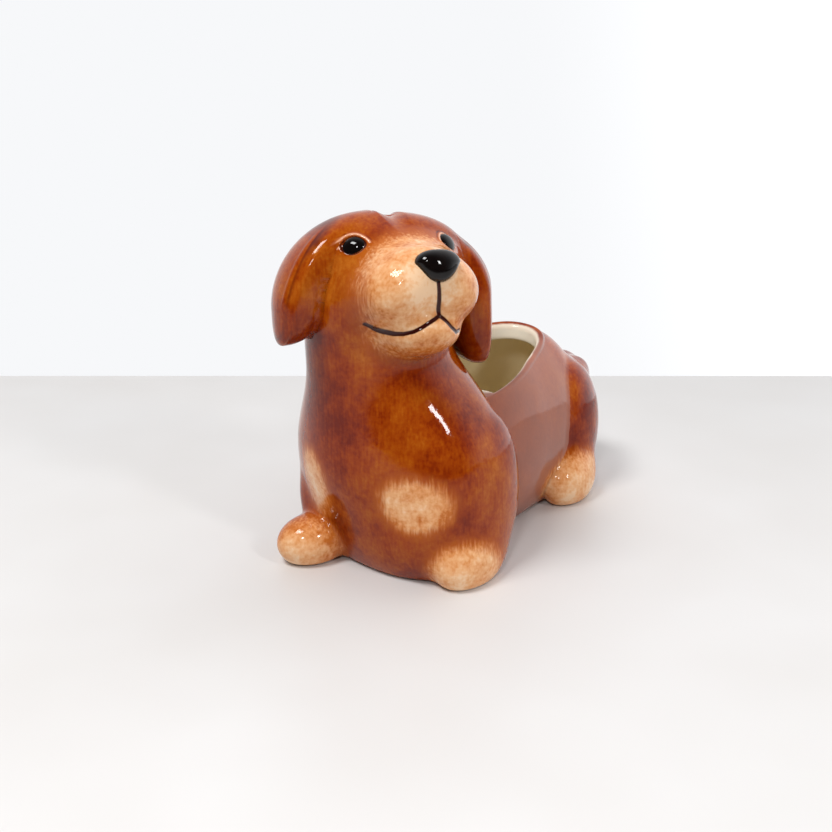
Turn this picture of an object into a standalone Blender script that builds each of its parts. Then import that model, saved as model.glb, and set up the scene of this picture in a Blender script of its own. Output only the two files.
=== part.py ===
"""Small glazed earthenware planter in the shape of a lying puppy looking up over its left shoulder.

The sizes below are millimetres and every mesh is written in metres. +X is the puppy's left,
-Y is its front and +Z is up. The planter stands on Z = 0. It is made of hollow castings and
solid pressed pieces, each seated on its neighbour with a slip line of CLEARANCE between them.
"""
import math

import bmesh
import bpy
import numpy as np

MM = 0.001

# ---- driving sizes, millimetres ------------------------------------------------------------
CLEARANCE = 0.30                    # slip line left between two luted pieces
WALL = 3.2                          # wall of the hollow castings
FLOOR = 3.5                         # floor under the trough and the chest
VENT_RADIUS = 2.6                   # firing vent through the floor of the chest

BARREL_HALF = (31.5, 46.0, 39.5)    # half width, half length and half height of the trough
BARREL_CENTRE = (0.0, 14.0, 28.0)
RUMP_HALF = (26.0, 25.0, 37.0)
RUMP_CENTRE = (5.0, 41.5, 27.0)
RIM_HEIGHT = 55.5                   # height of the rim where the spine crosses Y = 0
RIM_SLOPE = 0.19                    # the rim climbs towards the rump
RIM_LEAN = -0.06                    # and dips a little on the puppy's left
RIM_WIDTH = 3.2                     # width of the lip, measured level

CHEST_HALF = (40.5, 27.0, 40.0)
CHEST_CENTRE = (-1.0, -33.0, 30.0)
CHEST_POWER = 2.4                   # 2 is a true egg, more is boxier
NECK_RADIUS = (26.0, 23.5)          # at its root and under the head
NECK_ROOT = (-4.0, -38.0, 45.0)
NECK_TOP = (-5.0, -43.0, 88.0)
COLLAR_Z = 84.0                     # where the head casting is luted to the neck

HEAD_CENTRE = (0.0, -42.0, 97.5)
HEAD_HALF = (25.0, 23.0, 25.0)      # half width, half depth and half height of the skull
HEAD_YAW = 56.0                     # turned to the puppy's left, degrees
HEAD_PITCH = 21.0                   # tipped up, degrees
HEAD_ROLL = -4.0

MUZZLE_HALF = (19.5, 15.0, 11.0)    # the two lips together, in the head's own axes
MUZZLE_FORWARD = 19.5
CHIN_HALF = (12.5, 13.0, 7.5)
NOSE_HALF = (7.2, 5.0, 5.2)
NOSE_SIDE = 1.9                     # the nose sits a little to the puppy's left
EYE_HALF = (4.1, 3.4, 3.1)
EYE_AIM = (14.5, 17.5, 10.5)        # direction of an eye from the skull's centre
EAR_HALF_WIDTH = 11.5
EAR_HALF_LENGTH = {1.0: 27.0, -1.0: 20.5}    # left ear, which hangs lower, and right ear
EAR_MIDDLE = {1.0: -3.0, -1.0: 4.0}          # height of the flap's middle over the skull's
EAR_THICKNESS = 6.0
EAR_STANDOFF = {1.0: 8.0, -1.0: 9.5}    # middle of the flap outside the widest part of the skull
EAR_RISE = 7.0                      # the same over the crown
EAR_HINGE = -6.0                    # height over the skull's middle where the flap starts to hang
EAR_FLARE = 0.08                    # how it leans out below that
EAR_BACK = 2.5                      # middle of the flap behind the skull's middle
EAR_LEAN = 0.06                     # how its upper end leans ahead
EAR_TAPER = 0.12                    # how it narrows upwards

PAW_HALF = (9.0, 15.0, 11.0)
FORELEG_HALF = (8.0, 13.0, 26.0)
RIGHT_PAW_HALF = (9.5, 13.0, 9.5)   # the right foreleg reaches forward and lies lower
RIGHT_FORELEG_HALF = (8.5, 13.0, 16.0)
HIND_PAW_HALF = (9.0, 14.0, 11.0)
THIGH_HALF = (10.5, 15.5, 26.0)
TAIL_RADIUS = 7.0

# ---- colours and finishes, linear RGB ------------------------------------------------------
GLAZES = {
    "brown_glaze": ((0.270, 0.072, 0.018), 0.14),
    "cream_glaze": ((0.700, 0.420, 0.230), 0.14),
    "black_glaze": ((0.006, 0.005, 0.005), 0.08),
}


# ---- rounded volumes: each returns about the distance to its surface, negative inside -----
def turn_z(degrees):
    c, s = math.cos(math.radians(degrees)), math.sin(math.radians(degrees))
    return np.array([[c, -s, 0.0], [s, c, 0.0], [0.0, 0.0, 1.0]])


def ellipsoid(p, centre, half, turn=None, power=2.0):
    q = p - np.asarray(centre, float)
    if turn is not None:
        q = q @ turn
    half = np.asarray(half, float)
    a = np.abs(q / half) + 1e-6
    reach = (a ** power).sum(-1) ** (1.0 / power)
    slope = (a ** (power - 1.0)) * (reach ** (1.0 - power))[..., None] / half
    return (reach - 1.0) / np.sqrt((slope * slope).sum(-1))


def tapered_bar(p, start, end, radius_start, radius_end):
    start, end = np.asarray(start, float), np.asarray(end, float)
    along = end - start
    q = p - start
    h = np.clip((q @ along) / (along @ along), 0.0, 1.0)
    return np.sqrt(((q - h[..., None] * along) ** 2).sum(-1)) - (
        radius_start + (radius_end - radius_start) * h)


def blend(a, b, width):
    h = np.clip(0.5 + 0.5 * (b - a) / width, 0.0, 1.0)
    return b + (a - b) * h - width * h * (1.0 - h)


# ---- the head's own axes: puppy's left, forward along the muzzle, up through the crown -----
def head_axes():
    base = np.array([[1.0, 0.0, 0.0], [0.0, -1.0, 0.0], [0.0, 0.0, 1.0]])
    turned = turn_z(HEAD_YAW) @ base
    left, ahead, up = turned[:, 0], turned[:, 1], turned[:, 2]
    c, s = math.cos(math.radians(HEAD_PITCH)), math.sin(math.radians(HEAD_PITCH))
    ahead, up = ahead * c + up * s, -ahead * s + up * c
    c, s = math.cos(math.radians(HEAD_ROLL)), math.sin(math.radians(HEAD_ROLL))
    left, up = left * c + up * s, -left * s + up * c
    return np.stack([left, ahead, up], 1)


HEAD_AXES = head_axes()
HEAD_ORIGIN = np.array(HEAD_CENTRE)


def in_head(p):
    return (p - HEAD_ORIGIN) @ HEAD_AXES


def head_point(left, ahead, up):
    return HEAD_ORIGIN + HEAD_AXES @ np.array([left, ahead, up], float)


MUZZLE_MIDDLE = head_point(0.8, MUZZLE_FORWARD - 5.5, -2.0)


# ---- the volumes of the animal -------------------------------------------------------------
def barrel_volume(p):
    barrel = ellipsoid(p, BARREL_CENTRE, BARREL_HALF, turn_z(-6.0), 2.2)
    rump = ellipsoid(p, RUMP_CENTRE, RUMP_HALF, turn_z(-14.0), 2.2)
    return blend(barrel, rump, 10.0)


def rim_level(x, y):
    return RIM_HEIGHT + RIM_SLOPE * y + RIM_LEAN * x


def breast_volume(p):
    chest = ellipsoid(p, CHEST_CENTRE, CHEST_HALF, turn_z(-13.0), CHEST_POWER)
    neck = tapered_bar(p, NECK_ROOT, NECK_TOP, NECK_RADIUS[0], NECK_RADIUS[1])
    return blend(chest, neck, 14.0)


def skull_volume(p):
    skull = ellipsoid(in_head(p), (0.0, 0.0, 1.0), HEAD_HALF, None, 2.15)
    return blend(skull, breast_volume(p), 8.0)


def muzzle_volume(p):
    h = in_head(p)
    lip = 0.59 * MUZZLE_HALF[0]
    offset = MUZZLE_HALF[0] - lip
    half = (lip, MUZZLE_HALF[1], MUZZLE_HALF[2])
    left = ellipsoid(h, (offset + 0.8, MUZZLE_FORWARD, -5.0), half)
    right = ellipsoid(h, (-offset + 0.8, MUZZLE_FORWARD, -5.0), half)
    bridge = ellipsoid(h, (0.5, MUZZLE_FORWARD - 2.0, 0.5),
                       (0.95 * lip, MUZZLE_HALF[1] + 3.0, 0.86 * MUZZLE_HALF[2]))
    return blend(blend(left, right, 4.0), bridge, 8.0)


def chin_volume(p):
    return ellipsoid(in_head(p), (2.0, MUZZLE_FORWARD - 2.5, -6.2 - MUZZLE_HALF[2]), CHIN_HALF)


def nose_volume(p):
    ahead = MUZZLE_FORWARD + MUZZLE_HALF[1]
    return ellipsoid(in_head(p), (NOSE_SIDE, ahead, 0.8), NOSE_HALF)


def eye_volume(side):
    aim = np.array([side * EYE_AIM[0], EYE_AIM[1], EYE_AIM[2]])
    half = np.array(HEAD_HALF)
    reach = 1.0 / ((np.abs(aim / half) ** 2.15).sum() ** (1.0 / 2.15))
    seat = aim * reach * 0.985 + np.array([0.0, 0.0, 0.6])

    def volume(p):
        return ellipsoid(in_head(p), seat, EYE_HALF)
    return volume, head_point(*seat)


def leg_volume(side, paw_at, leg_at, paw_half, leg_half, turn, soft=7.0):
    paw_centre = (side * paw_at[0], paw_at[1], paw_at[2])
    leg_centre = (side * leg_at[0], leg_at[1], leg_at[2])

    def volume(p):
        paw = ellipsoid(p, paw_centre, paw_half, turn_z(turn))
        leg = ellipsoid(p, leg_centre, leg_half, turn_z(0.5 * turn))
        return blend(paw, leg, soft)
    middle = 0.5 * np.array(paw_centre) + 0.5 * np.array(leg_centre)
    middle[2] = paw_centre[2] + 4.0
    return volume, middle


def tail_volume(p):
    root, bend, tip = tail_path()
    first = tapered_bar(p, root, bend, TAIL_RADIUS + 0.5, TAIL_RADIUS)
    second = tapered_bar(p, bend, tip, TAIL_RADIUS, TAIL_RADIUS - 1.2)
    return blend(first, second, 3.0)


def tail_path():
    back = RUMP_CENTRE[1] + RUMP_HALF[1] - 1.0
    return (6.0, back - 0.5, 35.0), (14.0, back + 1.0, 42.0), (22.0, back - 4.5, 44.0)


# ---- skins ---------------------------------------------------------------------------------
def cast_skin(volume, centre, rings, spokes, level=0.0, reach=125.0):
    """Closed skin where volume equals level, seen along a globe of rays from centre."""
    phi = np.linspace(0.0, math.pi, rings + 1)[1:-1]
    theta = np.linspace(0.0, 2.0 * math.pi, spokes, endpoint=False)
    ph, th = np.meshgrid(phi, theta, indexing="ij")
    rays = np.stack([np.sin(ph) * np.cos(th), np.sin(ph) * np.sin(th), np.cos(ph)], -1)
    rays = np.concatenate([[[0.0, 0.0, 1.0]], rays.reshape(-1, 3), [[0.0, 0.0, -1.0]]])
    centre = np.asarray(centre, float)
    steps = np.linspace(0.0, reach, 251)
    value = volume(centre + rays[:, None, :] * steps[None, :, None]) - level
    outside = value > 0.0
    outside[:, 0], outside[:, -1] = False, True
    first = np.argmax(outside, axis=1)
    low, high = steps[first - 1], steps[first]
    for _ in range(22):
        middle = 0.5 * (low + high)
        inside = volume(centre + rays * middle[:, None]) - level <= 0.0
        low, high = np.where(inside, middle, low), np.where(inside, high, middle)
    points = centre + rays * (0.5 * (low + high))[:, None]
    return points, globe_faces(rings, spokes)


def globe_faces(rings, spokes):
    last = 1 + (rings - 1) * spokes
    faces = []
    for j in range(spokes):
        k = (j + 1) % spokes
        faces.append((0, 1 + j, 1 + k))
        for i in range(rings - 2):
            a, b = 1 + i * spokes, 1 + (i + 1) * spokes
            faces.append((a + j, b + j, b + k, a + k))
        tail = 1 + (rings - 2) * spokes
        faces.append((tail + k, tail + j, last))
    return faces


def ear_skin(side, rings, spokes):
    """Flap that hangs from the crown: a rounded lens wrapped over the side of the skull."""
    out = HEAD_AXES[:, 0] * side
    out = np.array([out[0], out[1], 0.0])
    out /= np.linalg.norm(out)
    up = np.array([0.0, 0.0, 1.0])
    ahead = np.cross(up, out) * -side
    phi = np.linspace(0.0, math.pi, rings + 1)
    theta = np.linspace(0.0, 2.0 * math.pi, spokes, endpoint=False)
    rows = [(phi[0], np.zeros(1))] + [(f, theta) for f in phi[1:-1]] + [(phi[-1], np.zeros(1))]
    points = []
    ring = HEAD_HALF[0] + EAR_STANDOFF[side]
    tall = HEAD_HALF[2] + EAR_RISE
    for f, th in rows:
        r = math.sin(f) ** 0.8
        lift = math.copysign(abs(math.cos(f)) ** 0.75, math.cos(f)) * 0.5 * EAR_THICKNESS
        across = r * np.cos(th)
        along = r * np.sin(th)
        w = EAR_MIDDLE[side] + EAR_HALF_LENGTH[side] * along
        x = EAR_LEAN * w - EAR_BACK + EAR_HALF_WIDTH * across * (1.0 - EAR_TAPER * along)
        over = np.clip((w - EAR_HINGE) / tall, 0.0, 0.95)
        root = np.sqrt(1.0 - over ** 2)
        hung = w <= EAR_HINGE
        reach = np.where(hung, ring + EAR_FLARE * (EAR_HINGE - w), ring * root)
        lean = np.where(hung, -EAR_FLARE, ring * over / (tall * root))
        reach = reach - x ** 2 / (2.0 * HEAD_HALF[0])
        size = np.sqrt(1.0 + lean ** 2)
        points.append(HEAD_ORIGIN + (reach + lift / size)[:, None] * out
                      + x[:, None] * ahead + (w + lift * lean / size)[:, None] * up)
    points = np.concatenate(points)
    return points, globe_faces(rings, spokes)


# ---- objects -------------------------------------------------------------------------------
def clear_scene():
    for item in list(bpy.data.objects):
        bpy.data.objects.remove(item, do_unlink=True)


def glaze(piece, kind):
    colour, roughness = GLAZES[kind]
    material = bpy.data.materials.new(piece + "_" + kind)
    material.use_nodes = True
    shader = material.node_tree.nodes["Principled BSDF"]
    shader.inputs["Base Color"].default_value = (*colour, 1.0)
    shader.inputs["Roughness"].default_value = roughness
    shader.inputs["Metallic"].default_value = 0.0
    material.diffuse_color = (*colour, 1.0)
    return material


def solid(name, skin):
    points, faces = skin
    mesh = bpy.data.meshes.new(name)
    mesh.from_pydata((points * MM).tolist(), [], faces)
    mesh.validate()
    item = bpy.data.objects.new(name, mesh)
    bpy.context.scene.collection.objects.link(item)
    face_outward(mesh)
    return item


def face_outward(mesh):
    mesh.calc_loop_triangles()
    volume = 0.0
    for tri in mesh.loop_triangles:
        a, b, c = (mesh.vertices[i].co for i in tri.vertices)
        volume += a.dot(b.cross(c))
    if volume < 0.0:
        mesh.flip_normals()


def block(name, low, high):
    low, high = np.array(low, float), np.array(high, float)
    corners = [(x, y, z) for x in (0, 1) for y in (0, 1) for z in (0, 1)]
    points = low + np.array(corners, float) * (high - low)
    faces = [(0, 1, 3, 2), (4, 6, 7, 5), (0, 4, 5, 1), (2, 3, 7, 6), (0, 2, 6, 4), (1, 5, 7, 3)]
    return solid(name, (points, faces))


def rim_block(name):
    """Everything above the sloping rim plane, behind the neck."""
    low, high = np.array([-90.0, -60.0, 0.0]), np.array([90.0, 120.0, 90.0])
    corners = [(x, y, z) for x in (0, 1) for y in (0, 1) for z in (0, 1)]
    points = low + np.array(corners, float) * (high - low)
    points[:, 2] += rim_level(points[:, 0], points[:, 1])
    faces = [(0, 1, 3, 2), (4, 6, 7, 5), (0, 4, 5, 1), (2, 3, 7, 6), (0, 2, 6, 4), (1, 5, 7, 3)]
    return solid(name, (points, faces))


def mouth_plug(name, sides=44, depth=9.0):
    """Upright plug as wide as the opening between the lips, down to where the wall takes over."""
    theta = np.linspace(0.0, 2.0 * math.pi, sides, endpoint=False)
    heading = np.stack([np.cos(theta), np.sin(theta)], 1)
    middle = np.array([2.0, 20.0])
    steps = np.linspace(0.0, 80.0, 801)
    flat = middle + heading[:, None, :] * steps[None, :, None]
    level = rim_level(flat[..., 0], flat[..., 1])
    outside = barrel_volume(np.concatenate([flat, level[..., None]], -1)) > 0.0
    outside[:, -1] = True
    reach = steps[np.argmax(outside, axis=1)] - RIM_WIDTH
    ring = middle + heading * reach[:, None]
    level = rim_level(ring[:, 0], ring[:, 1])
    points = np.concatenate([np.c_[ring, level - depth], np.c_[ring, level + 20.0]])
    faces = [tuple(range(sides - 1, -1, -1)), tuple(range(sides, 2 * sides))]
    for j in range(sides):
        k = (j + 1) % sides
        faces.append((j, k, sides + k, sides + j))
    return solid(name, (points, faces))


def drum(name, x, y, low, high, radius, sides=20):
    theta = np.linspace(0.0, 2.0 * math.pi, sides, endpoint=False)
    ring = np.stack([x + radius * np.cos(theta), y + radius * np.sin(theta)], 1)
    points = np.concatenate([np.c_[ring, np.full(sides, low)], np.c_[ring, np.full(sides, high)]])
    faces = [tuple(range(sides - 1, -1, -1)), tuple(range(sides, 2 * sides))]
    for j in range(sides):
        k = (j + 1) % sides
        faces.append((j, k, sides + k, sides + j))
    return solid(name, (points, faces))


def cut(item, *cutters):
    """Take each cutter out of the item and drop the cutter."""
    for cutter in cutters:
        cutter.hide_render = True
        cutter.display_type = "WIRE"
        step = item.modifiers.new("cut", "BOOLEAN")
        step.operation = "DIFFERENCE"
        step.solver = "EXACT"
        step.object = cutter
        bpy.context.view_layer.update()
        graph = bpy.context.evaluated_depsgraph_get()
        shaped = bpy.data.meshes.new_from_object(item.evaluated_get(graph))
        item.modifiers.clear()
        old = item.data
        item.data = shaped
        bpy.data.meshes.remove(old)
        shaped.name = item.name
        bpy.data.objects.remove(cutter, do_unlink=True)
    clean(item.data)
    return item


def clean(mesh):
    """Weld the hair-thin edges a cut can leave and keep every face looking outwards."""
    work = bmesh.new()
    work.from_mesh(mesh)
    bmesh.ops.remove_doubles(work, verts=work.verts, dist=0.00005)
    bmesh.ops.dissolve_degenerate(work, edges=work.edges, dist=0.00002)
    bmesh.ops.triangulate(work, faces=work.faces)
    bmesh.ops.recalc_face_normals(work, faces=work.faces)
    work.to_mesh(mesh)
    work.free()
    face_outward(mesh)


def below_table():
    return block("cut_table", (-120, -120, -60), (120, 120, 0))


def finish(item, kind, smooth_angle=38.0):
    item.data.materials.clear()
    item.data.materials.append(glaze(item.name, kind))
    item.data.shade_smooth()
    item.data.set_sharp_from_angle(angle=math.radians(smooth_angle))
    return item


# ---- castings ------------------------------------------------------------------------------
BREAST_MIDDLE = (-2.0, -36.0, 44.0)


def breast_cutter(gap=CLEARANCE):
    return solid("cut_breast", cast_skin(breast_volume, BREAST_MIDDLE, 24, 34, gap))


def barrel_cutter():
    return solid("cut_barrel", cast_skin(barrel_volume, BARREL_CENTRE, 24, 38, CLEARANCE))


def skull_cutter():
    return solid("cut_skull", cast_skin(skull_volume, HEAD_ORIGIN, 18, 30, CLEARANCE))


def muzzle_cutter():
    return solid("cut_muzzle", cast_skin(muzzle_volume, MUZZLE_MIDDLE, 14, 24, CLEARANCE))


def trough(kind):
    """Open casting of the barrel; its front wall hugs the back of the chest."""
    body = solid("pot_body_shell", cast_skin(barrel_volume, BARREL_CENTRE, 24, 38))
    cut(body, below_table(), rim_block("cut_rim"), breast_cutter())
    hollow = solid("cut_hollow", cast_skin(barrel_volume, BARREL_CENTRE, 20, 32, -WALL))
    cut(hollow, block("cut_floor", (-120, -120, -60), (120, 120, FLOOR)),
        breast_cutter(CLEARANCE + WALL))
    mouth = cut(mouth_plug("cut_mouth"), breast_cutter(CLEARANCE + WALL))
    cut(body, hollow, mouth)
    return finish(body, kind)


def breast(kind):
    """Hollow casting of chest and neck, open under the head and vented through its floor."""
    body = solid("chest_neck_shell", cast_skin(breast_volume, BREAST_MIDDLE, 24, 34))
    cut(body, below_table(),
        block("cut_collar", (-120, -120, COLLAR_Z - 0.5 * CLEARANCE), (120, 120, 160)))
    hollow = solid("cut_hollow", cast_skin(breast_volume, BREAST_MIDDLE, 16, 26, -WALL))
    cut(hollow, block("cut_floor", (-120, -120, -60), (120, 120, FLOOR)))
    cut(body, hollow, drum("cut_vent", CHEST_CENTRE[0], CHEST_CENTRE[1], -5, FLOOR + 5, VENT_RADIUS))
    return finish(body, kind)


def skull(kind):
    """Hollow casting of the head, open downwards into the neck."""
    body = solid("head_shell", cast_skin(skull_volume, HEAD_ORIGIN, 18, 30))
    cut(body, block("cut_collar", (-120, -120, -60), (120, 120, COLLAR_Z + 0.5 * CLEARANCE)))
    cut(body, solid("cut_hollow", cast_skin(skull_volume, HEAD_ORIGIN, 13, 22, -WALL)))
    return finish(body, kind)


def pressed(name, skin, kind, *cutters):
    piece = solid(name, skin)
    cut(piece, *cutters)
    return finish(piece, kind)


def build():
    clear_scene()
    brown, cream, black = "brown_glaze", "cream_glaze", "black_glaze"
    pieces = [trough(brown), breast(brown), skull(brown)]

    pieces.append(pressed("muzzle", cast_skin(muzzle_volume, MUZZLE_MIDDLE, 14, 24),
                          cream, skull_cutter()))
    pieces.append(pressed("lower_jaw",
                          cast_skin(chin_volume, head_point(0.8, MUZZLE_FORWARD - 2.5, -16), 10, 20),
                          cream, skull_cutter(), muzzle_cutter(), breast_cutter()))
    pieces.append(pressed("nose_pad",
                          cast_skin(nose_volume,
                                    head_point(NOSE_SIDE, MUZZLE_FORWARD + MUZZLE_HALF[1], 0.8), 10, 18),
                          black, muzzle_cutter()))
    for side, name in ((1.0, "eye_left"), (-1.0, "eye_right")):
        volume, seat = eye_volume(side)
        pieces.append(pressed(name, cast_skin(volume, seat, 9, 16), black,
                              skull_cutter(), muzzle_cutter()))
    for side, name in ((1.0, "ear_left"), (-1.0, "ear_right")):
        pieces.append(pressed(name, ear_skin(side, 12, 20), brown, skull_cutter(), breast_cutter()))

    chest_side = CHEST_HALF[0] - 9.0
    body_side = BARREL_HALF[0] + 0.5
    legs = (
        ("foreleg_left", leg_volume(1.0, (chest_side, -42.0, 7.0), (chest_side, -28.0, 26.0),
                                    PAW_HALF, FORELEG_HALF, -8.0)),
        ("foreleg_right", leg_volume(-1.0, (chest_side - 8.5, -56.5, 7.0),
                                     (chest_side - 4.5, -38.0, 18.0),
                                     RIGHT_PAW_HALF, RIGHT_FORELEG_HALF, -30.0)),
        ("hind_leg_left", leg_volume(1.0, (body_side, 37.0, 8.0), (body_side - 5.0, 46.0, 25.0),
                                     HIND_PAW_HALF, THIGH_HALF, -5.0)),
        ("hind_leg_right", leg_volume(-1.0, (body_side - 4.0, 38.0, 8.0),
                                      (body_side - 10.0, 46.0, 25.0),
                                      HIND_PAW_HALF, THIGH_HALF, 5.0)),
    )
    for name, (volume, middle) in legs:
        pieces.append(pressed(name, cast_skin(volume, middle, 14, 20), cream,
                              below_table(), barrel_cutter(), breast_cutter()))

    pieces.append(pressed("tail", cast_skin(tail_volume, tail_path()[1], 12, 18), brown,
                          barrel_cutter()))
    centre_on_origin(pieces)


def centre_on_origin(pieces):
    """Move everything so the middle of the footprint box is the origin."""
    low = np.full(3, 1e9)
    high = -low
    for item in pieces:
        flat = np.empty(3 * len(item.data.vertices))
        item.data.vertices.foreach_get("co", flat)
        points = flat.reshape(-1, 3)
        low, high = np.minimum(low, points.min(0)), np.maximum(high, points.max(0))
    shift = -np.array([0.5 * (low[0] + high[0]), 0.5 * (low[1] + high[1]), low[2]])
    for item in pieces:
        flat = np.empty(3 * len(item.data.vertices))
        item.data.vertices.foreach_get("co", flat)
        item.data.vertices.foreach_set("co", (flat.reshape(-1, 3) + shift).ravel())
        item.data.update()
    print("moved by, mm:", np.round(shift / MM, 3).tolist())


build()
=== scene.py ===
"""Looks of a small glazed earthenware planter in the shape of a lying puppy.

Everything is worked out in millimetres in the modeller's own axes: +X is the puppy's left, -Y its
front, +Z up. The finished meshes are moved so that their footprint sits on the frame's footprint
and written in metres. Every visible surface is the zero level of one soft union of rounded
volumes, so that neighbouring pieces run into each other as wet clay does.
"""
import logging
import math
from dataclasses import dataclass, field
from enum import Enum
from typing import Callable

import bpy
import numpy as np
from mathutils import Matrix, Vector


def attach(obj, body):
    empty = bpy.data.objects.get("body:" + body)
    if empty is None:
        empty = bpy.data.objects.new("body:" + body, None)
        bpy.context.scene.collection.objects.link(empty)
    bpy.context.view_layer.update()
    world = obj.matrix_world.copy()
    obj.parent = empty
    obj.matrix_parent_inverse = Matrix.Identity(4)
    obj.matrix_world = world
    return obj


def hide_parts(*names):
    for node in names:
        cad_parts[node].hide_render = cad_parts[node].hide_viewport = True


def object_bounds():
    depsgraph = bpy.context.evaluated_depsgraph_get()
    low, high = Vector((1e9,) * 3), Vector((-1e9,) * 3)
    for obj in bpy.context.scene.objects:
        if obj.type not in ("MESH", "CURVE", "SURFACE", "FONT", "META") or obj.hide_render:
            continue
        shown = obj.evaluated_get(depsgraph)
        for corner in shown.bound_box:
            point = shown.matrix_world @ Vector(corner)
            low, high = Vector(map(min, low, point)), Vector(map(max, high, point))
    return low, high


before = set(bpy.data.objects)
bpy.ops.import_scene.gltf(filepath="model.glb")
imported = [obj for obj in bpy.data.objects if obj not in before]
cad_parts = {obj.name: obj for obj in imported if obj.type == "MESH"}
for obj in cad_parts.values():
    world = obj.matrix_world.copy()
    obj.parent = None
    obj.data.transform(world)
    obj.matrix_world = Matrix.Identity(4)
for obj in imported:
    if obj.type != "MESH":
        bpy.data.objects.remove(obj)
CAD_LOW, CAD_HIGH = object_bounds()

Array = np.ndarray
MM = 0.001
LOG = logging.getLogger("puppy")


# ---------------------------------------------------------------------------------------------
# Rounded volumes. Each returns about the distance to its skin in mm, negative inside.
# ---------------------------------------------------------------------------------------------
def turn_z(degrees: float) -> Array:
    """Rotation about the upright axis."""
    c, s = math.cos(math.radians(degrees)), math.sin(math.radians(degrees))
    return np.array([[c, -s, 0.0], [s, c, 0.0], [0.0, 0.0, 1.0]])


def egg(p: Array, centre: tuple, half: tuple, turn: Array | None = None, power: float = 2.0) -> Array:
    """Ellipsoid: (sum of (|offset| / half) ^ power) ^ (1/power) - 1, divided by its own slope.

    Args:
        p: Points, one per row.
        centre: Middle of the egg.
        half: Half width, half depth and half height.
        turn: Rotation of the egg's own axes.
        power: 2 is a true ellipsoid, more is boxier.

    Returns:
        Distance of each point from the skin.
    """
    q = p - np.asarray(centre, float)
    if turn is not None:
        q = q @ turn
    size = np.asarray(half, float)
    if power == 2.0:
        a = q / size
        reach = np.sqrt(np.einsum("ij,ij->i", a, a)) + 1e-9
        a /= size
        return reach * (reach - 1.0) / (np.sqrt(np.einsum("ij,ij->i", a, a)) + 1e-9)
    a = np.abs(q / size) + 1e-6
    low = a ** (power - 1.0)
    reach = np.einsum("ij,ij->i", low, a) ** (1.0 / power)
    slope = low * (reach ** (1.0 - power))[:, None] / size
    return (reach - 1.0) / np.sqrt(np.einsum("ij,ij->i", slope, slope))


def bar(p: Array, start: tuple, end: tuple, radius_start: float, radius_end: float) -> Array:
    """Round bar that tapers: distance to the nearest point of its axis less the radius there.

    Args:
        p: Points, one per row.
        start: One end of the axis.
        end: Its other end.
        radius_start: Radius at start.
        radius_end: Radius at end.

    Returns:
        Distance of each point from the skin.
    """
    a, b = np.asarray(start, float), np.asarray(end, float)
    along = b - a
    q = p - a
    h = np.clip((q @ along) / (along @ along), 0.0, 1.0)
    return np.linalg.norm(q - h[:, None] * along, axis=1) - radius_start - (radius_end - radius_start) * h


def blend(a: Array, b: Array, width: Array | float) -> Array:
    """Soft union: the smaller of two distances with a fillet as wide as width."""
    h = np.clip(0.5 + 0.5 * (b - a) / width, 0.0, 1.0)
    return b + (a - b) * h - width * h * (1.0 - h)


def carve(a: Array, b: Array, width: float) -> Array:
    """Soft intersection: the larger of two distances, rounded over width."""
    return -blend(-a, -b, width)


def ease(x: Array, low: float, high: float) -> Array:
    """Smooth step: 0 below low, 1 above high."""
    t = np.clip((x - low) / (high - low), 0.0, 1.0)
    return t * t * (3.0 - 2.0 * t)


def hump(d: Array, width: float) -> Array:
    """Bell curve: 1 on the line and almost 0 at twice its width."""
    return np.exp(-(d / width) ** 2)


def stroke_distance(q: Array, points: list[tuple[float, float]]) -> Array:
    """Distance in a plane from points q to a line drawn through a few points.

    Args:
        q: Points in the plane, two columns.
        points: Corners of the line.

    Returns:
        Distance of each q to the nearest stretch.
    """
    best = np.full(len(q), 1e9)
    for start, end in zip(points[:-1], points[1:]):
        a, b = np.array(start), np.array(end)
        along = b - a
        h = np.clip(((q - a) @ along) / (along @ along), 0.0, 1.0)
        best = np.minimum(best, np.linalg.norm(q - a - h[:, None] * along, axis=1))
    return best


# ---------------------------------------------------------------------------------------------
# The animal
# ---------------------------------------------------------------------------------------------
class Lump(Enum):
    """The rounded volumes that the skin is made of, in the order they are joined."""
    BARREL = "barrel"
    BREAST = "breast"
    SKULL = "skull"
    MUZZLE = "muzzle"
    JAW = "jaw"
    FORE_LEFT = "fore_left"
    FORE_RIGHT = "fore_right"
    HIND_LEFT = "hind_left"
    HIND_RIGHT = "hind_right"
    EAR_LEFT = "ear_left"
    EAR_RIGHT = "ear_right"
    TAIL = "tail"


@dataclass(frozen=True)
class Head:
    """The head's own axes: puppy's left, ahead along the muzzle, up through the crown."""
    centre: tuple = (0.0, -42.0, 97.5)
    half: tuple = (25.0, 23.0, 25.0)
    crown: float = 21.7
    lift: float = 0.6
    power: float = 2.3
    yaw: float = 56.0
    pitch: float = 21.0
    roll: float = -4.0

    @property
    def axes(self) -> Array:
        """Columns: left, ahead and up, after turning, tipping and rolling the head."""
        turned = turn_z(self.yaw) @ np.array([[1.0, 0, 0], [0, -1.0, 0], [0, 0, 1.0]])
        left, ahead, up = turned.T
        c, s = math.cos(math.radians(self.pitch)), math.sin(math.radians(self.pitch))
        ahead, up = ahead * c + up * s, -ahead * s + up * c
        c, s = math.cos(math.radians(self.roll)), math.sin(math.radians(self.roll))
        left, up = left * c + up * s, -left * s + up * c
        return np.stack([left, ahead, up], 1)

    def local(self, p: Array) -> Array:
        """Points in the head's own axes."""
        return (p - np.array(self.centre)) @ self.axes

    def place(self, left: float, ahead: float, up: float) -> Array:
        """A point given in the head's own axes."""
        return np.array(self.centre) + self.axes @ np.array([left, ahead, up])


HEAD = Head()


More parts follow.
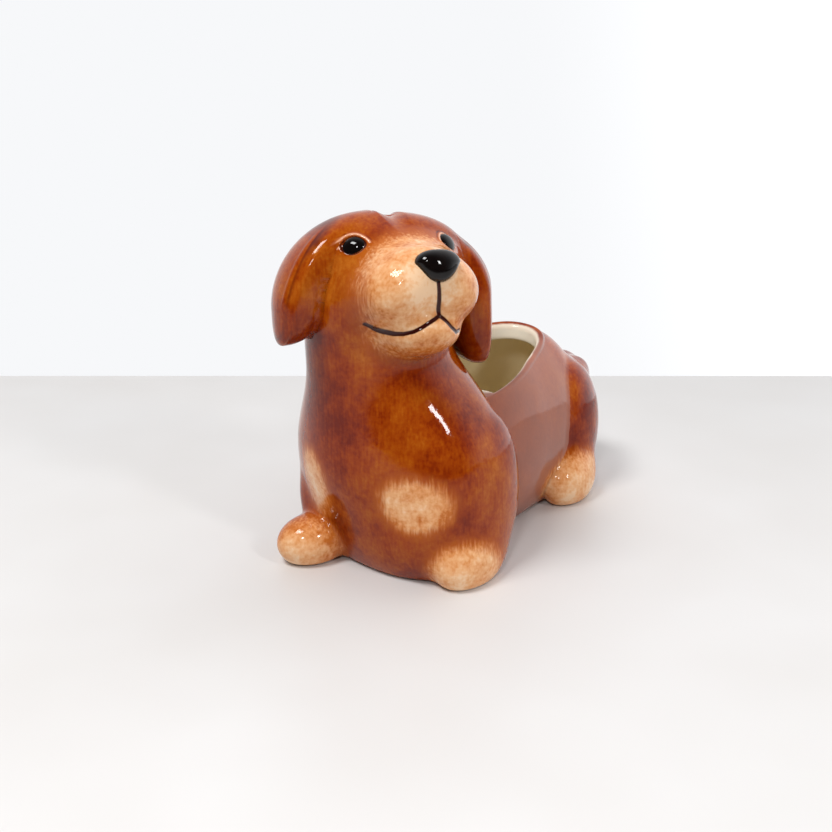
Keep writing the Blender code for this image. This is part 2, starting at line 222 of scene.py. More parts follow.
@dataclass(frozen=True)
class Limb:
    """A leg: middle and half sizes of the paw and of the upright part, and its turn in degrees."""
    paw: tuple
    paw_half: tuple
    upright: tuple
    upright_half: tuple
    turn: float

    def distance(self, p: Array) -> Array:
        """A long paw egg run into an upright egg that is turned half as far."""
        paw = egg(p, self.paw, self.paw_half, turn_z(self.turn))
        return blend(paw, egg(p, self.upright, self.upright_half, turn_z(0.5 * self.turn)), 7.0)


LIMBS = {
    Lump.FORE_LEFT: Limb((31.5, -42.0, 7.0), (9.0, 15.0, 11.0), (31.5, -28.0, 26.0), (8.0, 13.0, 26.0), -8.0),
    Lump.FORE_RIGHT: Limb((-23.0, -56.5, 7.0), (9.5, 13.0, 9.5), (-27.0, -38.0, 18.0), (8.5, 13.0, 16.0),
                          -30.0),
    Lump.HIND_LEFT: Limb((32.0, 37.0, 8.0), (9.0, 14.0, 11.0), (27.0, 46.0, 25.0), (10.5, 15.5, 26.0), -5.0),
    Lump.HIND_RIGHT: Limb((-28.0, 38.0, 8.0), (9.0, 14.0, 11.0), (-22.0, 46.0, 25.0), (10.5, 15.5, 26.0), 5.0),
}


@dataclass(frozen=True)
class Puppy:
    """Sizes of the whole animal in mm, and the distance to its skin."""
    barrel_half: tuple = (31.5, 46.0, 39.5)
    barrel_centre: tuple = (0.0, 14.0, 28.0)
    rump_half: tuple = (26.0, 25.0, 37.0)
    rump_centre: tuple = (5.0, 41.5, 27.0)
    chest_half: tuple = (40.5, 27.0, 40.0)
    chest_centre: tuple = (-1.0, -33.0, 30.0)
    chest_power: float = 2.4
    neck_root: tuple = (-4.0, -38.0, 45.0)
    neck_top: tuple = (-5.0, -43.0, 88.0)
    neck_radius: tuple = (26.0, 23.5)
    rim_height: float = 55.5
    rim_slope: float = 0.19
    rim_lean: float = -0.06
    muzzle_half: tuple = (19.5, 15.0, 11.0)
    muzzle_ahead: float = 19.5
    muzzle_drop: float = 5.0

    def rim_level(self, x: Array, y: Array) -> Array:
        """Height of the lip: it climbs towards the rump and dips on the puppy's left."""
        return self.rim_height + self.rim_slope * y + self.rim_lean * x

    def ear(self, p: Array, flap: "Flap") -> Array:
        """Flap: a sheet at a set distance over the skull, thickened and cut to a rounded drop.

        The sheet is an ellipse seen from the front that hangs almost straight below its widest
        point. Across, along and through the sheet the flap is a superellipsoid, far thicker on
        the inner side, where it runs into the skull, and it has a rolled front hem. It ends
        short of the middle of the crown.

        Args:
            p: Points, one per row.
            flap: Sizes of the ear.

        Returns:
            Distance of each point from the flap.
        """
        out, ahead, up = ear_axes(flap.side)
        q = p - np.array(HEAD.centre)
        o, f, w = q @ out, q @ ahead, q @ up
        ring, tall = flap.ring
        o = o + f * f / (2.0 * HEAD.half[0])
        over = np.maximum(w - flap.hinge, 0.0)
        r = np.sqrt((o / ring) ** 2 + (over / tall) ** 2 + 1e-6)
        slope = np.sqrt((o / ring ** 2) ** 2 + (over / tall ** 2) ** 2 + 1e-9) / r
        sheet = (r - 1.0) / slope - flap.flare * np.maximum(flap.hinge - w, 0.0)
        sheet = np.where(sheet < 0.0, sheet * flap.thickness / flap.root, sheet)
        b = (w - flap.middle) / flap.half[1]
        a = (f + flap.back - flap.lean * w) / (1.0 - flap.taper * b)
        body = egg(np.stack([a, sheet, w - flap.middle], 1), (0.0, 0.0, 0.0),
                   (flap.half[0], flap.thickness, flap.half[1]), None, 2.5)
        body = body + np.maximum(5.0 - o, 0.0)
        hem = flap.half[0] * np.sqrt(np.maximum(1.0 - b * b, 0.0)) - a
        return body - 0.28 * hump(hem - 3.6, 0.9) * ease(w, -6.0, 2.0) * ease(24.0 - w, 2.0, 8.0)

    def distance(self, p: Array, lump: Lump, domed: bool = False) -> Array:
        """Distance of the points from one lump; the barrel stops at its lip unless it is domed.

        Args:
            p: Points, one per row.
            lump: Which lump.
            domed: Whether the barrel goes on above its lip.

        Returns:
            Distance of each point, negative inside.
        """
        if lump is Lump.BARREL:
            barrel = egg(p, self.barrel_centre, self.barrel_half, turn_z(-6.0), 2.2)
            rump = egg(p, self.rump_centre, self.rump_half, turn_z(-14.0), 2.2)
            whole = blend(barrel, rump, 10.0)
            return whole if domed else carve(whole, p[:, 2] - self.rim_level(p[:, 0], p[:, 1]), 2.0)
        if lump is Lump.BREAST:
            chest = egg(p, self.chest_centre, self.chest_half, turn_z(-13.0), self.chest_power)
            return blend(chest, bar(p, self.neck_root, self.neck_top, *self.neck_radius), 14.0)
        if lump is Lump.SKULL:
            return egg(HEAD.local(p), (0.0, 0.0, HEAD.lift), (*HEAD.half[:2], HEAD.crown), None, HEAD.power)
        if lump is Lump.MUZZLE:
            h = HEAD.local(p)
            lip = 0.59 * self.muzzle_half[0]
            apart = self.muzzle_half[0] - lip
            half = (lip, self.muzzle_half[1], self.muzzle_half[2])
            left = egg(h, (apart + 0.8, self.muzzle_ahead, -self.muzzle_drop), half)
            right = egg(h, (-apart + 0.8, self.muzzle_ahead, -self.muzzle_drop), half)
            bridge = egg(h, (0.5, self.muzzle_ahead - 2.0, 0.5),
                         (0.95 * lip, self.muzzle_half[1] + 3.0, 0.86 * self.muzzle_half[2]))
            return blend(blend(left, right, 4.0), bridge, 8.0)
        if lump is Lump.JAW:
            return egg(HEAD.local(p), (2.0, self.muzzle_ahead - 2.5, -17.2), (12.5, 13.0, 7.5))
        if lump in LIMBS:
            return LIMBS[lump].distance(p)
        if lump is Lump.TAIL:
            root, bend, tip = tail_path()
            return blend(bar(p, root, bend, 7.5, 7.0), bar(p, bend, tip, 7.0, 5.8), 3.0)
        return self.ear(p, FLAPS[lump])

    def fillet(self, p: Array, lump: Lump) -> Array | float:
        """How widely a lump is smoothed into what is already there.

        Args:
            p: Points, one per row.
            lump: The lump that is joined on.

        Returns:
            Width of the fillet in mm, one for all or one per point.
        """
        if lump in (Lump.EAR_LEFT, Lump.EAR_RIGHT):
            return 1.2 + 6.0 * ease(p[:, 2] - HEAD.centre[2], 8.0, 20.0)
        if lump in (Lump.HIND_LEFT, Lump.HIND_RIGHT):
            return 1.8 + 9.0 * ease(p[:, 1], 42.0, 58.0)
        return {Lump.BREAST: 2.0, Lump.SKULL: 8.0, Lump.MUZZLE: 6.0, Lump.JAW: 4.0,
                Lump.FORE_LEFT: 6.0, Lump.FORE_RIGHT: 3.5, Lump.TAIL: 6.0}[lump]

    def joined(self, p: Array, lumps: list[Lump], domed: bool = False) -> tuple[Array, dict[Lump, Array]]:
        """Soft union of some lumps, flat underneath and with the face's relief pressed in.

        Args:
            p: Points, one per row.
            lumps: The lumps to join, in the order of Lump.
            domed: Whether the barrel is closed on top, above its lip.

        Returns:
            Distance to the union, and to each lump by itself.
        """
        each = {lump: self.distance(p, lump, domed) for lump in lumps}
        total = each[lumps[0]]
        for lump in lumps[1:]:
            total = blend(total, each[lump], self.fillet(p, lump))
        if any(lump in HEAD_LUMPS for lump in lumps):
            total = total + FACE.relief(p)
        return carve(total, -p[:, 2], 1.6), each

    def skin(self, p: Array, own: Lump, near: tuple[Lump, ...], domed: bool = False) -> Array:
        """Skin of one lump: the soft union of it and its neighbours, let down where they lead.

        The union is lowered by a quarter of the square of the nearest neighbour's lead, and never
        by more than the lead and a little, so two neighbours share one smooth surface up to their
        seam and each stays just inside itself beyond it.

        Args:
            p: Points, one per row.
            own: The lump that the piece stands for.
            near: The lumps close enough to matter.
            domed: Whether the barrel is closed on top, above its lip.

        Returns:
            Distance of each point from the piece's skin.
        """
        wanted = [lump for lump in Lump if lump is own or lump in near]
        total, each = self.joined(p, wanted, domed)
        others = [each[lump] for lump in wanted if lump is not own]
        lead = np.maximum(each[own] - np.minimum.reduce(others), 0.0)
        return total + np.maximum(blend(0.25 * lead ** 2, lead + 0.8, 0.5), 0.0)


PUPPY = Puppy()


@dataclass(frozen=True)
class Flap:
    """One ear: side of the head, half width and length, height of its middle, half thickness,
    how deep its inner side goes, how far it stands off the skull at the side and at the crown,
    how it flares below its hinge, how far back it sits, and how it leans and narrows upwards."""
    side: float
    half: tuple
    middle: float
    thickness: float = 3.0
    root: float = 10.0
    standoff: float = 7.6
    rise: float = 1.5
    flare: float = 0.06
    hinge: float = -6.0
    back: float = 2.5
    lean: float = 0.06
    taper: float = 0.12

    @property
    def ring(self) -> tuple[float, float]:
        """Half width and height of the ellipse that the flap follows over the skull."""
        return HEAD.half[0] + self.standoff, HEAD.half[2] + self.rise


FLAPS = {Lump.EAR_LEFT: Flap(1.0, (11.5, 25.0), -6.0, standoff=8.0, rise=1.5),
         Lump.EAR_RIGHT: Flap(-1.0, (11.5, 20.0), 3.8, root=14.0, standoff=11.0, rise=6.3)}


def ear_axes(side: float) -> tuple[Array, Array, Array]:
    """An ear's axes: level outwards, level ahead, and up.

    Args:
        side: 1 for the puppy's left ear, -1 for its right.

    Returns:
        The three unit directions.
    """
    out = HEAD.axes[:, 0] * side * np.array([1.0, 1.0, 0.0])
    out /= np.linalg.norm(out)
    up = np.array([0.0, 0.0, 1.0])
    return out, np.cross(up, out) * -side, up


def tail_path() -> tuple[tuple, tuple, tuple]:
    """Root, bend and tip of the tail, which curls up to the puppy's left."""
    back = PUPPY.rump_centre[1] + PUPPY.rump_half[1] - 1.0
    return (6.0, back - 0.5, 35.0), (14.0, back + 1.0, 42.0), (22.0, back - 4.5, 44.0)


# ---------------------------------------------------------------------------------------------
# Finding skins
# ---------------------------------------------------------------------------------------------
def first_crossing(volume: Callable[[Array], Array], origins: Array, rays: Array, reach: float) -> Array:
    """Walk each ray out to the first place where the volume turns positive, then halve the step.

    Args:
        volume: Distance function, negative inside.
        origins: Start of each ray, inside the volume.
        rays: Unit directions.
        reach: Longest distance searched.

    Returns:
        Distance along each ray.
    """
    count = 56
    low = np.zeros(len(rays))
    high = np.full(len(rays), reach)
    open_rays = np.arange(len(rays))
    for k in range(1, count + 1):
        t = reach * k / count
        value = volume(origins[open_rays] + rays[open_rays] * t)
        found = value > 0.0
        high[open_rays[found]] = t
        low[open_rays[found]] = t - reach / count
        open_rays = open_rays[~found]
        if not len(open_rays):
            break
    return halve(volume, origins, rays, low, high, 13)


def halve(volume: Callable[[Array], Array], origins: Array, rays: Array, low: Array, high: Array,
          times: int) -> Array:
    """Bisection between a point inside and a point outside, on all rays at once.

    Args:
        volume: Distance function, negative inside.
        origins: Start of each ray.
        rays: Unit directions.
        low: Distance along each ray that is still inside.
        high: Distance that is outside.
        times: How often the stretch is halved.

    Returns:
        Distance along each ray.
    """
    for _ in range(times):
        t = 0.5 * (low + high)
        inside = volume(origins + rays * t[:, None]) <= 0.0
        low, high = np.where(inside, t, low), np.where(inside, high, t)
    return 0.5 * (low + high)


def skin_grid(volume: Callable[[Array], Array], origins: Array, rays: Array, reach: float) -> Array:
    """Skin points on a grid of rays: every fourth ray is walked, the rest start from those.

    Args:
        volume: Distance function, negative inside.
        origins: Ray starts, shape (rows, columns, 3); the columns run round and close.
        rays: Unit directions of the same shape.
        reach: Longest distance searched.

    Returns:
        Points on the skin, shape (rows, columns, 3).
    """
    rows, columns = rays.shape[:2]
    some_rows = np.unique(np.r_[np.arange(0, rows, 4), rows - 1])
    some_columns = np.arange(0, columns, 4)
    coarse = first_crossing(volume, origins[np.ix_(some_rows, some_columns)].reshape(-1, 3),
                            rays[np.ix_(some_rows, some_columns)].reshape(-1, 3), reach)
    coarse = coarse.reshape(len(some_rows), len(some_columns))
    coarse = np.concatenate([coarse, coarse[:, :1]], 1)
    around = np.stack([np.interp(np.arange(columns), np.r_[some_columns, columns], line) for line in coarse])
    guess = np.stack([np.interp(np.arange(rows), some_rows, line) for line in around.T], 1).ravel()
    flat_origins, flat_rays = origins.reshape(-1, 3), rays.reshape(-1, 3)
    slack = 2.5
    low, high = np.maximum(guess - slack, 0.0), guess + slack
    bad = (volume(flat_origins + flat_rays * low[:, None]) > 0.0) | (
        volume(flat_origins + flat_rays * high[:, None]) <= 0.0)
    t = halve(volume, flat_origins, flat_rays, low, high, 12)
    if bad.any():
        t[bad] = first_crossing(volume, flat_origins[bad], flat_rays[bad], reach)
    return (flat_origins + flat_rays * t[:, None]).reshape(rows, columns, 3)


def globe(centre: Array, rings: int, spokes: int) -> tuple[Array, Array]:
    """Rays of a globe about a centre: (sin a cos b, sin a sin b, cos a).

    Args:
        centre: Where every ray starts.
        rings: Steps of a, from straight up to straight down.
        spokes: Steps of b, once round.

    Returns:
        Origins and unit directions by ring and spoke.
    """
    a = np.linspace(0.0, math.pi, rings + 1)
    b = np.linspace(0.0, 2.0 * math.pi, spokes, endpoint=False)
    aa, bb = np.meshgrid(a, b, indexing="ij")
    rays = np.stack([np.sin(aa) * np.cos(bb), np.sin(aa) * np.sin(bb), np.cos(aa)], -1)
    return np.broadcast_to(np.asarray(centre, float), rays.shape).copy(), rays


def closed_faces(rows: int, columns: int) -> Array:
    """Quads between the full rows of a grid whose first and last rows are single points.

    Args:
        rows: Rows of the grid, the two points included.
        columns: Columns, which run round and close.

    Returns:
        Corner indices, four per face.
    """
    first = 1 + columns * np.arange(rows - 3)[:, None]
    j = np.arange(columns)[None]
    k = (j + 1) % columns
    corners = [first + j, first + columns + j, first + columns + k, first + k]
    return np.stack(corners, -1).reshape(-1, 4)


@dataclass
class Surface:
    """A closed skin in mm, with the paint measures that its finish reads."""
    points: Array
    quads: Array
    caps: Array
    measures: dict[str, Array] = field(default_factory=dict)


def close_grid(grid: Array) -> Surface:
    """Turn a grid of rows into a closed skin whose first and last rows shrink to one point.

    Args:
        grid: Points by row and column; the columns run round and close.

    Returns:
        The skin, without paint measures.
    """
    rows, columns = grid.shape[:2]
    points = np.concatenate([grid[:1, 0], grid[1:-1].reshape(-1, 3), grid[-1:, 0]])
    j = np.arange(columns)
    k = (j + 1) % columns
    last = len(points) - 1
    end = 1 + (rows - 3) * columns
    caps = np.concatenate([np.stack([np.zeros(columns, int), 1 + j, 1 + k], 1),
                           np.stack([end + k, end + j, np.full(columns, last)], 1)])
    return Surface(points, closed_faces(rows, columns), caps)


# ---------------------------------------------------------------------------------------------
# Relief and paint. Each measure is a function of place, so it runs on across every seam.
# ---------------------------------------------------------------------------------------------
@dataclass(frozen=True)
class Eye:
    """One eye: where it sits in the head's axes, its half sizes and how it is turned."""
    side: float
    centre: tuple
    half: tuple
    look: tuple

    def frame(self) -> tuple[Array, Array, Array]:
        """Across, upwards and outwards, in the head's axes."""
        out = np.array(self.look, float)
        out /= np.linalg.norm(out)
        across = np.cross([0.0, 0.0, 1.0], out)
        across /= np.linalg.norm(across)
        return across, np.cross(out, across), out

    def flat(self, h: Array) -> tuple[Array, Array, Array]:
        """Points as across, up and out from the middle of the eye.

        Args:
            h: Points in the head's axes.

        Returns:
            The three distances in mm.
        """
        across, up, out = self.frame()
        q = h - np.array(self.centre)
        return q @ across, q @ up, q @ out

    def outline(self, h: Array) -> tuple[Array, Array]:
        """Signed distance to the lid line, an ellipse with its corners drawn out, and the height.

        Args:
            h: Points in the head's axes.

        Returns:
            Distance in mm, negative over the eye, and height over the middle of the eye.
        """
        a, b, n = self.flat(h)
        corner = 1.0 + 0.18 * (np.abs(a) / self.half[0]) ** 2
        reach = np.sqrt((a / (self.half[0] * 1.08)) ** 2 + (b * corner / self.half[1]) ** 2 + 1e-6)
        return (reach - 1.0) * self.half[1] + np.maximum(np.abs(n) - 7.0, 0.0), b

    def lid(self, h: Array) -> Array:
        """Distance to the drawn-off ridge: an arch over the eye and a flick at its outer corner.

        Args:
            h: Points in the head's axes.

        Returns:
            Distance in mm.
        """
        a, b, n = self.flat(h)
        arch = np.abs(self.outline(h)[0] - 1.0) + 2.0 * np.maximum(0.4 - b, 0.0)
        outer = -self.side * self.half[0]
        flick = stroke_distance(np.stack([a, b], 1), [(outer * 1.12, -0.3), (outer * 1.75, -0.9)])
        return np.minimum(arch, flick) + np.maximum(np.abs(n) - 7.0, 0.0)


EYES = (Eye(1.0, (13.0, 17.4, 10.2), (2.7, 2.8), (0.45, 0.80, 0.20)),
        Eye(-1.0, (-16.3, 14.8, 10.4), (3.6, 2.9), (-0.60, 0.74, 0.20)))


@dataclass(frozen=True)
class Face:
    """Lines and zones of the face, drawn looking at it from ahead, in the head's axes."""
    mouth_right: tuple = ((-16.2, -13.6), (-13.7, -15.2), (-11.4, -16.5), (-9.1, -17.7), (-7.1, -18.1),
                          (-4.7, -17.8), (-2.5, -16.8), (-0.3, -15.6), (2.0, -14.4), (3.6, -13.4))
    mouth_left: tuple = ((3.6, -13.4), (5.6, -15.0), (7.6, -17.0), (10.0, -18.4), (12.2, -17.6))
    philtrum: tuple = ((1.2, -2.5), (2.2, -7.0), (3.0, -10.8), (3.6, -13.4))
    furrow: tuple = ((-1.0, 17.0), (-1.8, 26.0))

    def lines(self, h: Array) -> Array:
        """Distance to the painted mouth and the cleft under the nose.

        Args:
            h: Points in the head's axes.

        Returns:
            Distance in mm.
        """
        flat = h[:, [0, 2]]
        best = np.minimum(stroke_distance(flat, list(self.mouth_right)),
                          stroke_distance(flat, list(self.mouth_left)))
        best = np.minimum(best, stroke_distance(flat, list(self.philtrum)))
        return best + 0.3 * ease(-h[:, 0], 9.0, 16.0) + 4.0 * np.maximum(11.0 - h[:, 1], 0.0)

    def furrows(self, h: Array) -> Array:
        """Distance in mm to the shallow furrow that runs over the crown."""
        return stroke_distance(h[:, [0, 2]], list(self.furrow)) + 4.0 * np.maximum(6.0 - h[:, 1], 0.0)

    def relief(self, p: Array) -> Array:
        """How far the skin is let down: mouth, cleft, furrow and eye seats, less the lids.

        Args:
            p: Points, one per row.

        Returns:
            Depth in mm.
        """
        h = HEAD.local(p)
        drop = 0.40 * hump(self.lines(h), 0.9) + 0.4 * hump(self.furrows(h), 2.6)
        for eye in EYES:
            e, b = eye.outline(h)
            upper = ease(b, -2.5, 2.0)
            drop = drop + 0.6 * ease(-e, -0.3, 0.9) - 0.32 * upper * hump(e - 1.0, 0.5)
        return drop


FACE = Face()
HEAD_LUMPS = (Lump.SKULL, Lump.MUZZLE, Lump.JAW)


@dataclass(frozen=True)
class Patch:
    """A soft-edged painted spot: an ellipse in mm about a centre, as a signed distance."""
    centre: tuple
    half: tuple

    def distance(self, p: Array) -> Array:
        """Negative inside."""
        return egg(p, self.centre, self.half)


CHEST_PATCHES = (Patch((21.0, -60.0, 31.0), (11.5, 14.0, 9.5)), Patch((-20.0, -60.0, 30.0), (7.5, 14.0, 13.0)))
PAW_PATCHES = (Patch((34.0, -50.0, 4.0), (11.5, 17.0, 13.0)), Patch((-22.0, -62.0, 4.0), (11.5, 17.0, 12.5)),
               Patch((37.0, 34.0, 6.0), (13.0, 19.0, 14.5)), Patch((-33.0, 34.0, 6.0), (13.0, 19.0, 14.5)))


def cream_distance(p: Array) -> Array:
    """Signed distance to the cream paint: face mask, chin, chest spots and paws (negative inside).

    The mask is a tall rounded shape seen from ahead, cut off where the head turns away.

    Args:
        p: Points, one per row.

    Returns:
        Distance in mm, held between -12 and 12.
    """
    h = HEAD.local(p)
    a, f, u = h.T
    mask = egg(np.stack([a, np.zeros_like(a), u], 1), (0.0, 0.0, -4.0), (18.3, 1e3, 16.8), None, 2.1)
    chin = egg(np.stack([a, np.zeros_like(a), u], 1), (0.5, 0.0, -16.5), (14.5, 1e3, 8.2), None, 2.0)
    face = blend(mask, chin, 4.0)
    face = carve(face, 14.0 - f - 0.10 * np.abs(a), 2.0)
    best = face
    for patch in CHEST_PATCHES:
        best = np.minimum(best, carve(patch.distance(p), p[:, 1] + 45.0, 2.0))
    for patch in PAW_PATCHES:
        best = np.minimum(best, patch.distance(p))
    return np.clip(best, -12.0, 12.0)


def bend_of(volume: Callable[[Array], Array], p: Array, step: float) -> Array:
    """How sharply a skin is bent: the sum of second differences along the three axes.

    Args:
        volume: Distance function.
        p: Points on the skin.
        step: Distance of the six neighbours in mm.

    Returns:
        Positive on ridges, negative in creases, in 1/mm.
    """
    total = -6.0 * volume(p)
    for axis in np.eye(3):
        total = total + volume(p + step * axis) + volume(p - step * axis)
    return total / step ** 2


# ---------------------------------------------------------------------------------------------
# Finishes
# ---------------------------------------------------------------------------------------------
def linear(code: str) -> tuple[float, float, float, float]:
    """A hex colour such as "#9A4A10" as linear red, green, blue and 1."""
    parts = [int(code[k:k + 2], 16) / 255.0 for k in (1, 3, 5)]
    return (*[c / 12.92 if c <= 0.04045 else ((c + 0.055) / 1.055) ** 2.4 for c in parts], 1.0)


def add_node(tree: bpy.types.NodeTree, kind: str, settings: dict | None = None,
             links: dict | None = None, ramp: list[tuple[float, str]] | None = None) -> bpy.types.Node:
    """Add one node with its settings, values and links.

    Args:
        tree: Tree that gets the node.
        kind: Blender's name of the node type.
        settings: Attributes of the node by name.
        links: Input name or number to a value, or to a socket that feeds it.
        ramp: Stops of a colour ramp, as place and hex colour.

    Returns:
        The node.
    """
    node = tree.nodes.new(kind)
    for name, value in (settings or {}).items():
        setattr(node, name, value)
    for name, value in (links or {}).items():
        if isinstance(value, bpy.types.NodeSocket):
            tree.links.new(value, node.inputs[name])
        else:
            node.inputs[name].default_value = value
    if ramp:
        stops = node.color_ramp.elements
        while len(stops) < len(ramp):
            stops.new(0.5)
        for stop, (place, code) in zip(stops, ramp):
            stop.position, stop.color = place, linear(code)
    return node


@dataclass(frozen=True)
class BrushedGlaze:
    """Slip-cast earthenware, painted with a brush under a clear glossy glaze.

    The eye gets a wet, even shine over brown that was brushed on thin and thick, maroon in the
    hollows, partly glaze that ran there and partly painted shade, paler on the edges, partly glaze
    drawn off them and partly painted highlight, a pinkish painted sheen on the flank, painted shade
    low inside the trough, and cream spots with feathered edges.
    """
    name: str
    browns: tuple = ((0.36, "#6C1A02"), (0.45, "#852C02"), (0.52, "#973D04"), (0.59, "#A34C08"),
                     (0.70, "#B7661A"))
    creams: tuple = ((0.24, "#BE6A2A"), (0.42, "#D9935A"), (0.60, "#E6AE7C"), (0.82, "#EFC9A2"))
    halo: str = "#B45A12"
    # maroon for creases: partly pooled glaze, partly painted shade
    pooled_and_shaded: str = "#521005"
    # paler for ridges: partly glaze drawn off, partly painted highlight
    drawn_off_and_highlight: str = "#C98358"
    # pinkish painted sheen for the flank, standing in for the reflection of the white room
    painted_sheen: str = "#A4705F"
    line: str = "#360A05"
    lid: str = "#E3AE8F"
    inside_upper: str = "#F2ECDA"
    # painted shade, low inside the trough
    inside_painted_shade: str = "#ECDDB8"
    lip: str = "#E9DCC8"
    biscuit: str = "#DCCFBE"
    gloss: float = 0.07
    waviness_mm: float = 0.10

    def build(self) -> bpy.types.Material:
        """Colour from the painted measures and brush noise, then a clear coat over a soft base."""
        material = bpy.data.materials.new(self.name)
        material.use_nodes = True
        tree = material.node_tree
        tree.nodes.clear()
        place = add_node(tree, "ShaderNodeTexCoord").outputs["Object"]
        measure = {key: add_node(tree, "ShaderNodeAttribute", {"attribute_name": key}).outputs["Fac"]
                   for key in ("cream_mm", "line_mm", "lid_mm", "pool_and_shade", "ridge", "painted_sheen", "inside_mm", "foot")}

        # Clouds 26 mm across, dabs 6 mm across, and upright brush marks 0.9 mm wide and 7 mm long.
        clouds = add_node(tree, "ShaderNodeTexNoise", links={
            "Vector": place, "Scale": 1000 / 26, "Detail": 2.0, "Distortion": 0.6}).outputs["Fac"]
        dabs = add_node(tree, "ShaderNodeTexNoise", links={
            "Vector": place, "Scale": 1000 / 6, "Detail": 3.0, "Roughness": 0.6}).outputs["Fac"]
        upright = add_node(tree, "ShaderNodeMapping", links={
            "Vector": place, "Scale": (1.0, 1.0, 0.13), "Rotation": (0.08, 0.05, 0.0)}).outputs["Vector"]
        marks = add_node(tree, "ShaderNodeTexNoise", links={
            "Vector": upright, "Scale": 1000 / 0.9, "Detail": 2.0}).outputs["Fac"]

        grain = add_node(tree, "ShaderNodeTexNoise", links={
            "Vector": place, "Scale": 1000 / 1.5, "Detail": 3.0, "Roughness": 0.65}).outputs["Fac"]

        mix = add_node(tree, "ShaderNodeMath", {"operation": "MULTIPLY_ADD"},
                       {0: clouds, 1: 0.52, 2: -0.05}).outputs[0]
        mix = add_node(tree, "ShaderNodeMath", {"operation": "MULTIPLY_ADD"},
                       {0: dabs, 1: 0.26, 2: mix}).outputs[0]
        mix = add_node(tree, "ShaderNodeMath", {"operation": "MULTIPLY_ADD"},
                       {0: grain, 1: 0.14, 2: mix}).outputs[0]
        mix = add_node(tree, "ShaderNodeMath", {"operation": "MULTIPLY_ADD"},
                       {0: marks, 1: 0.17, 2: mix}).outputs[0]
        colour = add_node(tree, "ShaderNodeValToRGB", links={"Fac": mix},
                          ramp=list(self.browns)).outputs["Color"]

        # The edge of the cream paint wanders by the dabs and is feathered by the brush marks.
        wander = add_node(tree, "ShaderNodeMath", {"operation": "MULTIPLY_ADD"},
                          {0: dabs, 1: 5.0, 2: -2.5}).outputs[0]
        wander = add_node(tree, "ShaderNodeMath", {"operation": "MULTIPLY_ADD"},
                          {0: marks, 1: 5.0, 2: wander}).outputs[0]
        edge = add_node(tree, "ShaderNodeMath", {"operation": "ADD"},
                        {0: measure["cream_mm"], 1: wander}).outputs[0]
        steps = (
            (edge, 6.5, 2.2, 0.7, self.halo),
            # painted sheen: pinkish over the barrel's flank, for the reflection of the white room
            (measure["painted_sheen"], 0.0, 1.0, 0.66, self.painted_sheen),
            # maroon in creases: partly pooled glaze, partly painted shade
            (measure["pool_and_shade"], 0.1, 1.0, 0.8, self.pooled_and_shaded),
            # paler on ridges: partly glaze drawn off, partly painted highlight
            (measure["ridge"], 0.1, 1.0, 0.6, self.drawn_off_and_highlight),
        )
        for source, start, end, most, code in steps:
            colour = self.glazed_over(tree, colour, source, start, end, most, linear(code))
        tone = add_node(tree, "ShaderNodeMath", {"operation": "MULTIPLY_ADD"},
                        {0: edge, 1: -0.035, 2: -0.53}).outputs[0]
        tone = add_node(tree, "ShaderNodeMath", {"operation": "MULTIPLY_ADD"},
                        {0: clouds, 1: 0.55, 2: tone}).outputs[0]
        tone = add_node(tree, "ShaderNodeMath", {"operation": "MULTIPLY_ADD"},
                        {0: dabs, 1: 1.0, 2: tone}).outputs[0]
        tone = add_node(tree, "ShaderNodeMath", {"operation": "MULTIPLY_ADD"},
                        {0: grain, 1: 0.4, 2: tone}).outputs[0]
        cream = add_node(tree, "ShaderNodeValToRGB", links={"Fac": tone},
                         ramp=list(self.creams)).outputs["Color"]
        colour = self.glazed_over(tree, colour, edge, 4.2, 0.4, 1.0, cream)
        # Painted shade and pooled glaze darken the creases of the cream too.
        colour = self.glazed_over(tree, colour, measure["pool_and_shade"], 0.35, 1.0, 0.55, linear(self.pooled_and_shaded))
        colour = self.glazed_over(tree, colour, measure["lid_mm"], 0.5, 0.1, 0.8, linear(self.lid))
        colour = self.glazed_over(tree, colour, measure["line_mm"], 0.80, 0.45, 1.0, linear(self.line))

        # Inside the trough: bare cream on the lip, then the inner glaze, then from about 8 mm below the lip a
        # darker, yellower band of painted shade.
        depth = add_node(tree, "ShaderNodeMath", {"operation": "MULTIPLY_ADD"},
                         {0: dabs, 1: 1.2, 2: measure["inside_mm"]}).outputs[0]
        colour = self.glazed_over(tree, colour, depth, -0.6, 0.6, 1.0, linear(self.lip))
        colour = self.glazed_over(tree, colour, depth, 1.4, 2.6, 1.0, linear(self.inside_upper))
        colour = self.glazed_over(tree, colour, depth, 7.2, 8.0, 1.0, linear(self.inside_painted_shade))
        colour = self.glazed_over(tree, colour, measure["foot"], 0.3, 0.7, 1.0, linear(self.biscuit))

        height = add_node(tree, "ShaderNodeMath", {"operation": "MULTIPLY_ADD"},
                          {0: marks, 1: 0.12, 2: dabs}).outputs[0]
        bump = add_node(tree, "ShaderNodeBump", links={
            "Height": height, "Strength": 1.0, "Distance": self.waviness_mm * MM}).outputs["Normal"]
        rough = add_node(tree, "ShaderNodeMapRange", links={
            "Value": measure["foot"], "From Min": 0.3, "From Max": 0.7,
            "To Min": self.gloss, "To Max": 0.7}).outputs["Result"]
        shader = add_node(tree, "ShaderNodeBsdfPrincipled", links={
            "Base Color": colour, "Roughness": rough, "IOR": 1.34, "Normal": bump})
        add_node(tree, "ShaderNodeOutputMaterial", links={"Surface": shader.outputs["BSDF"]})
        return material

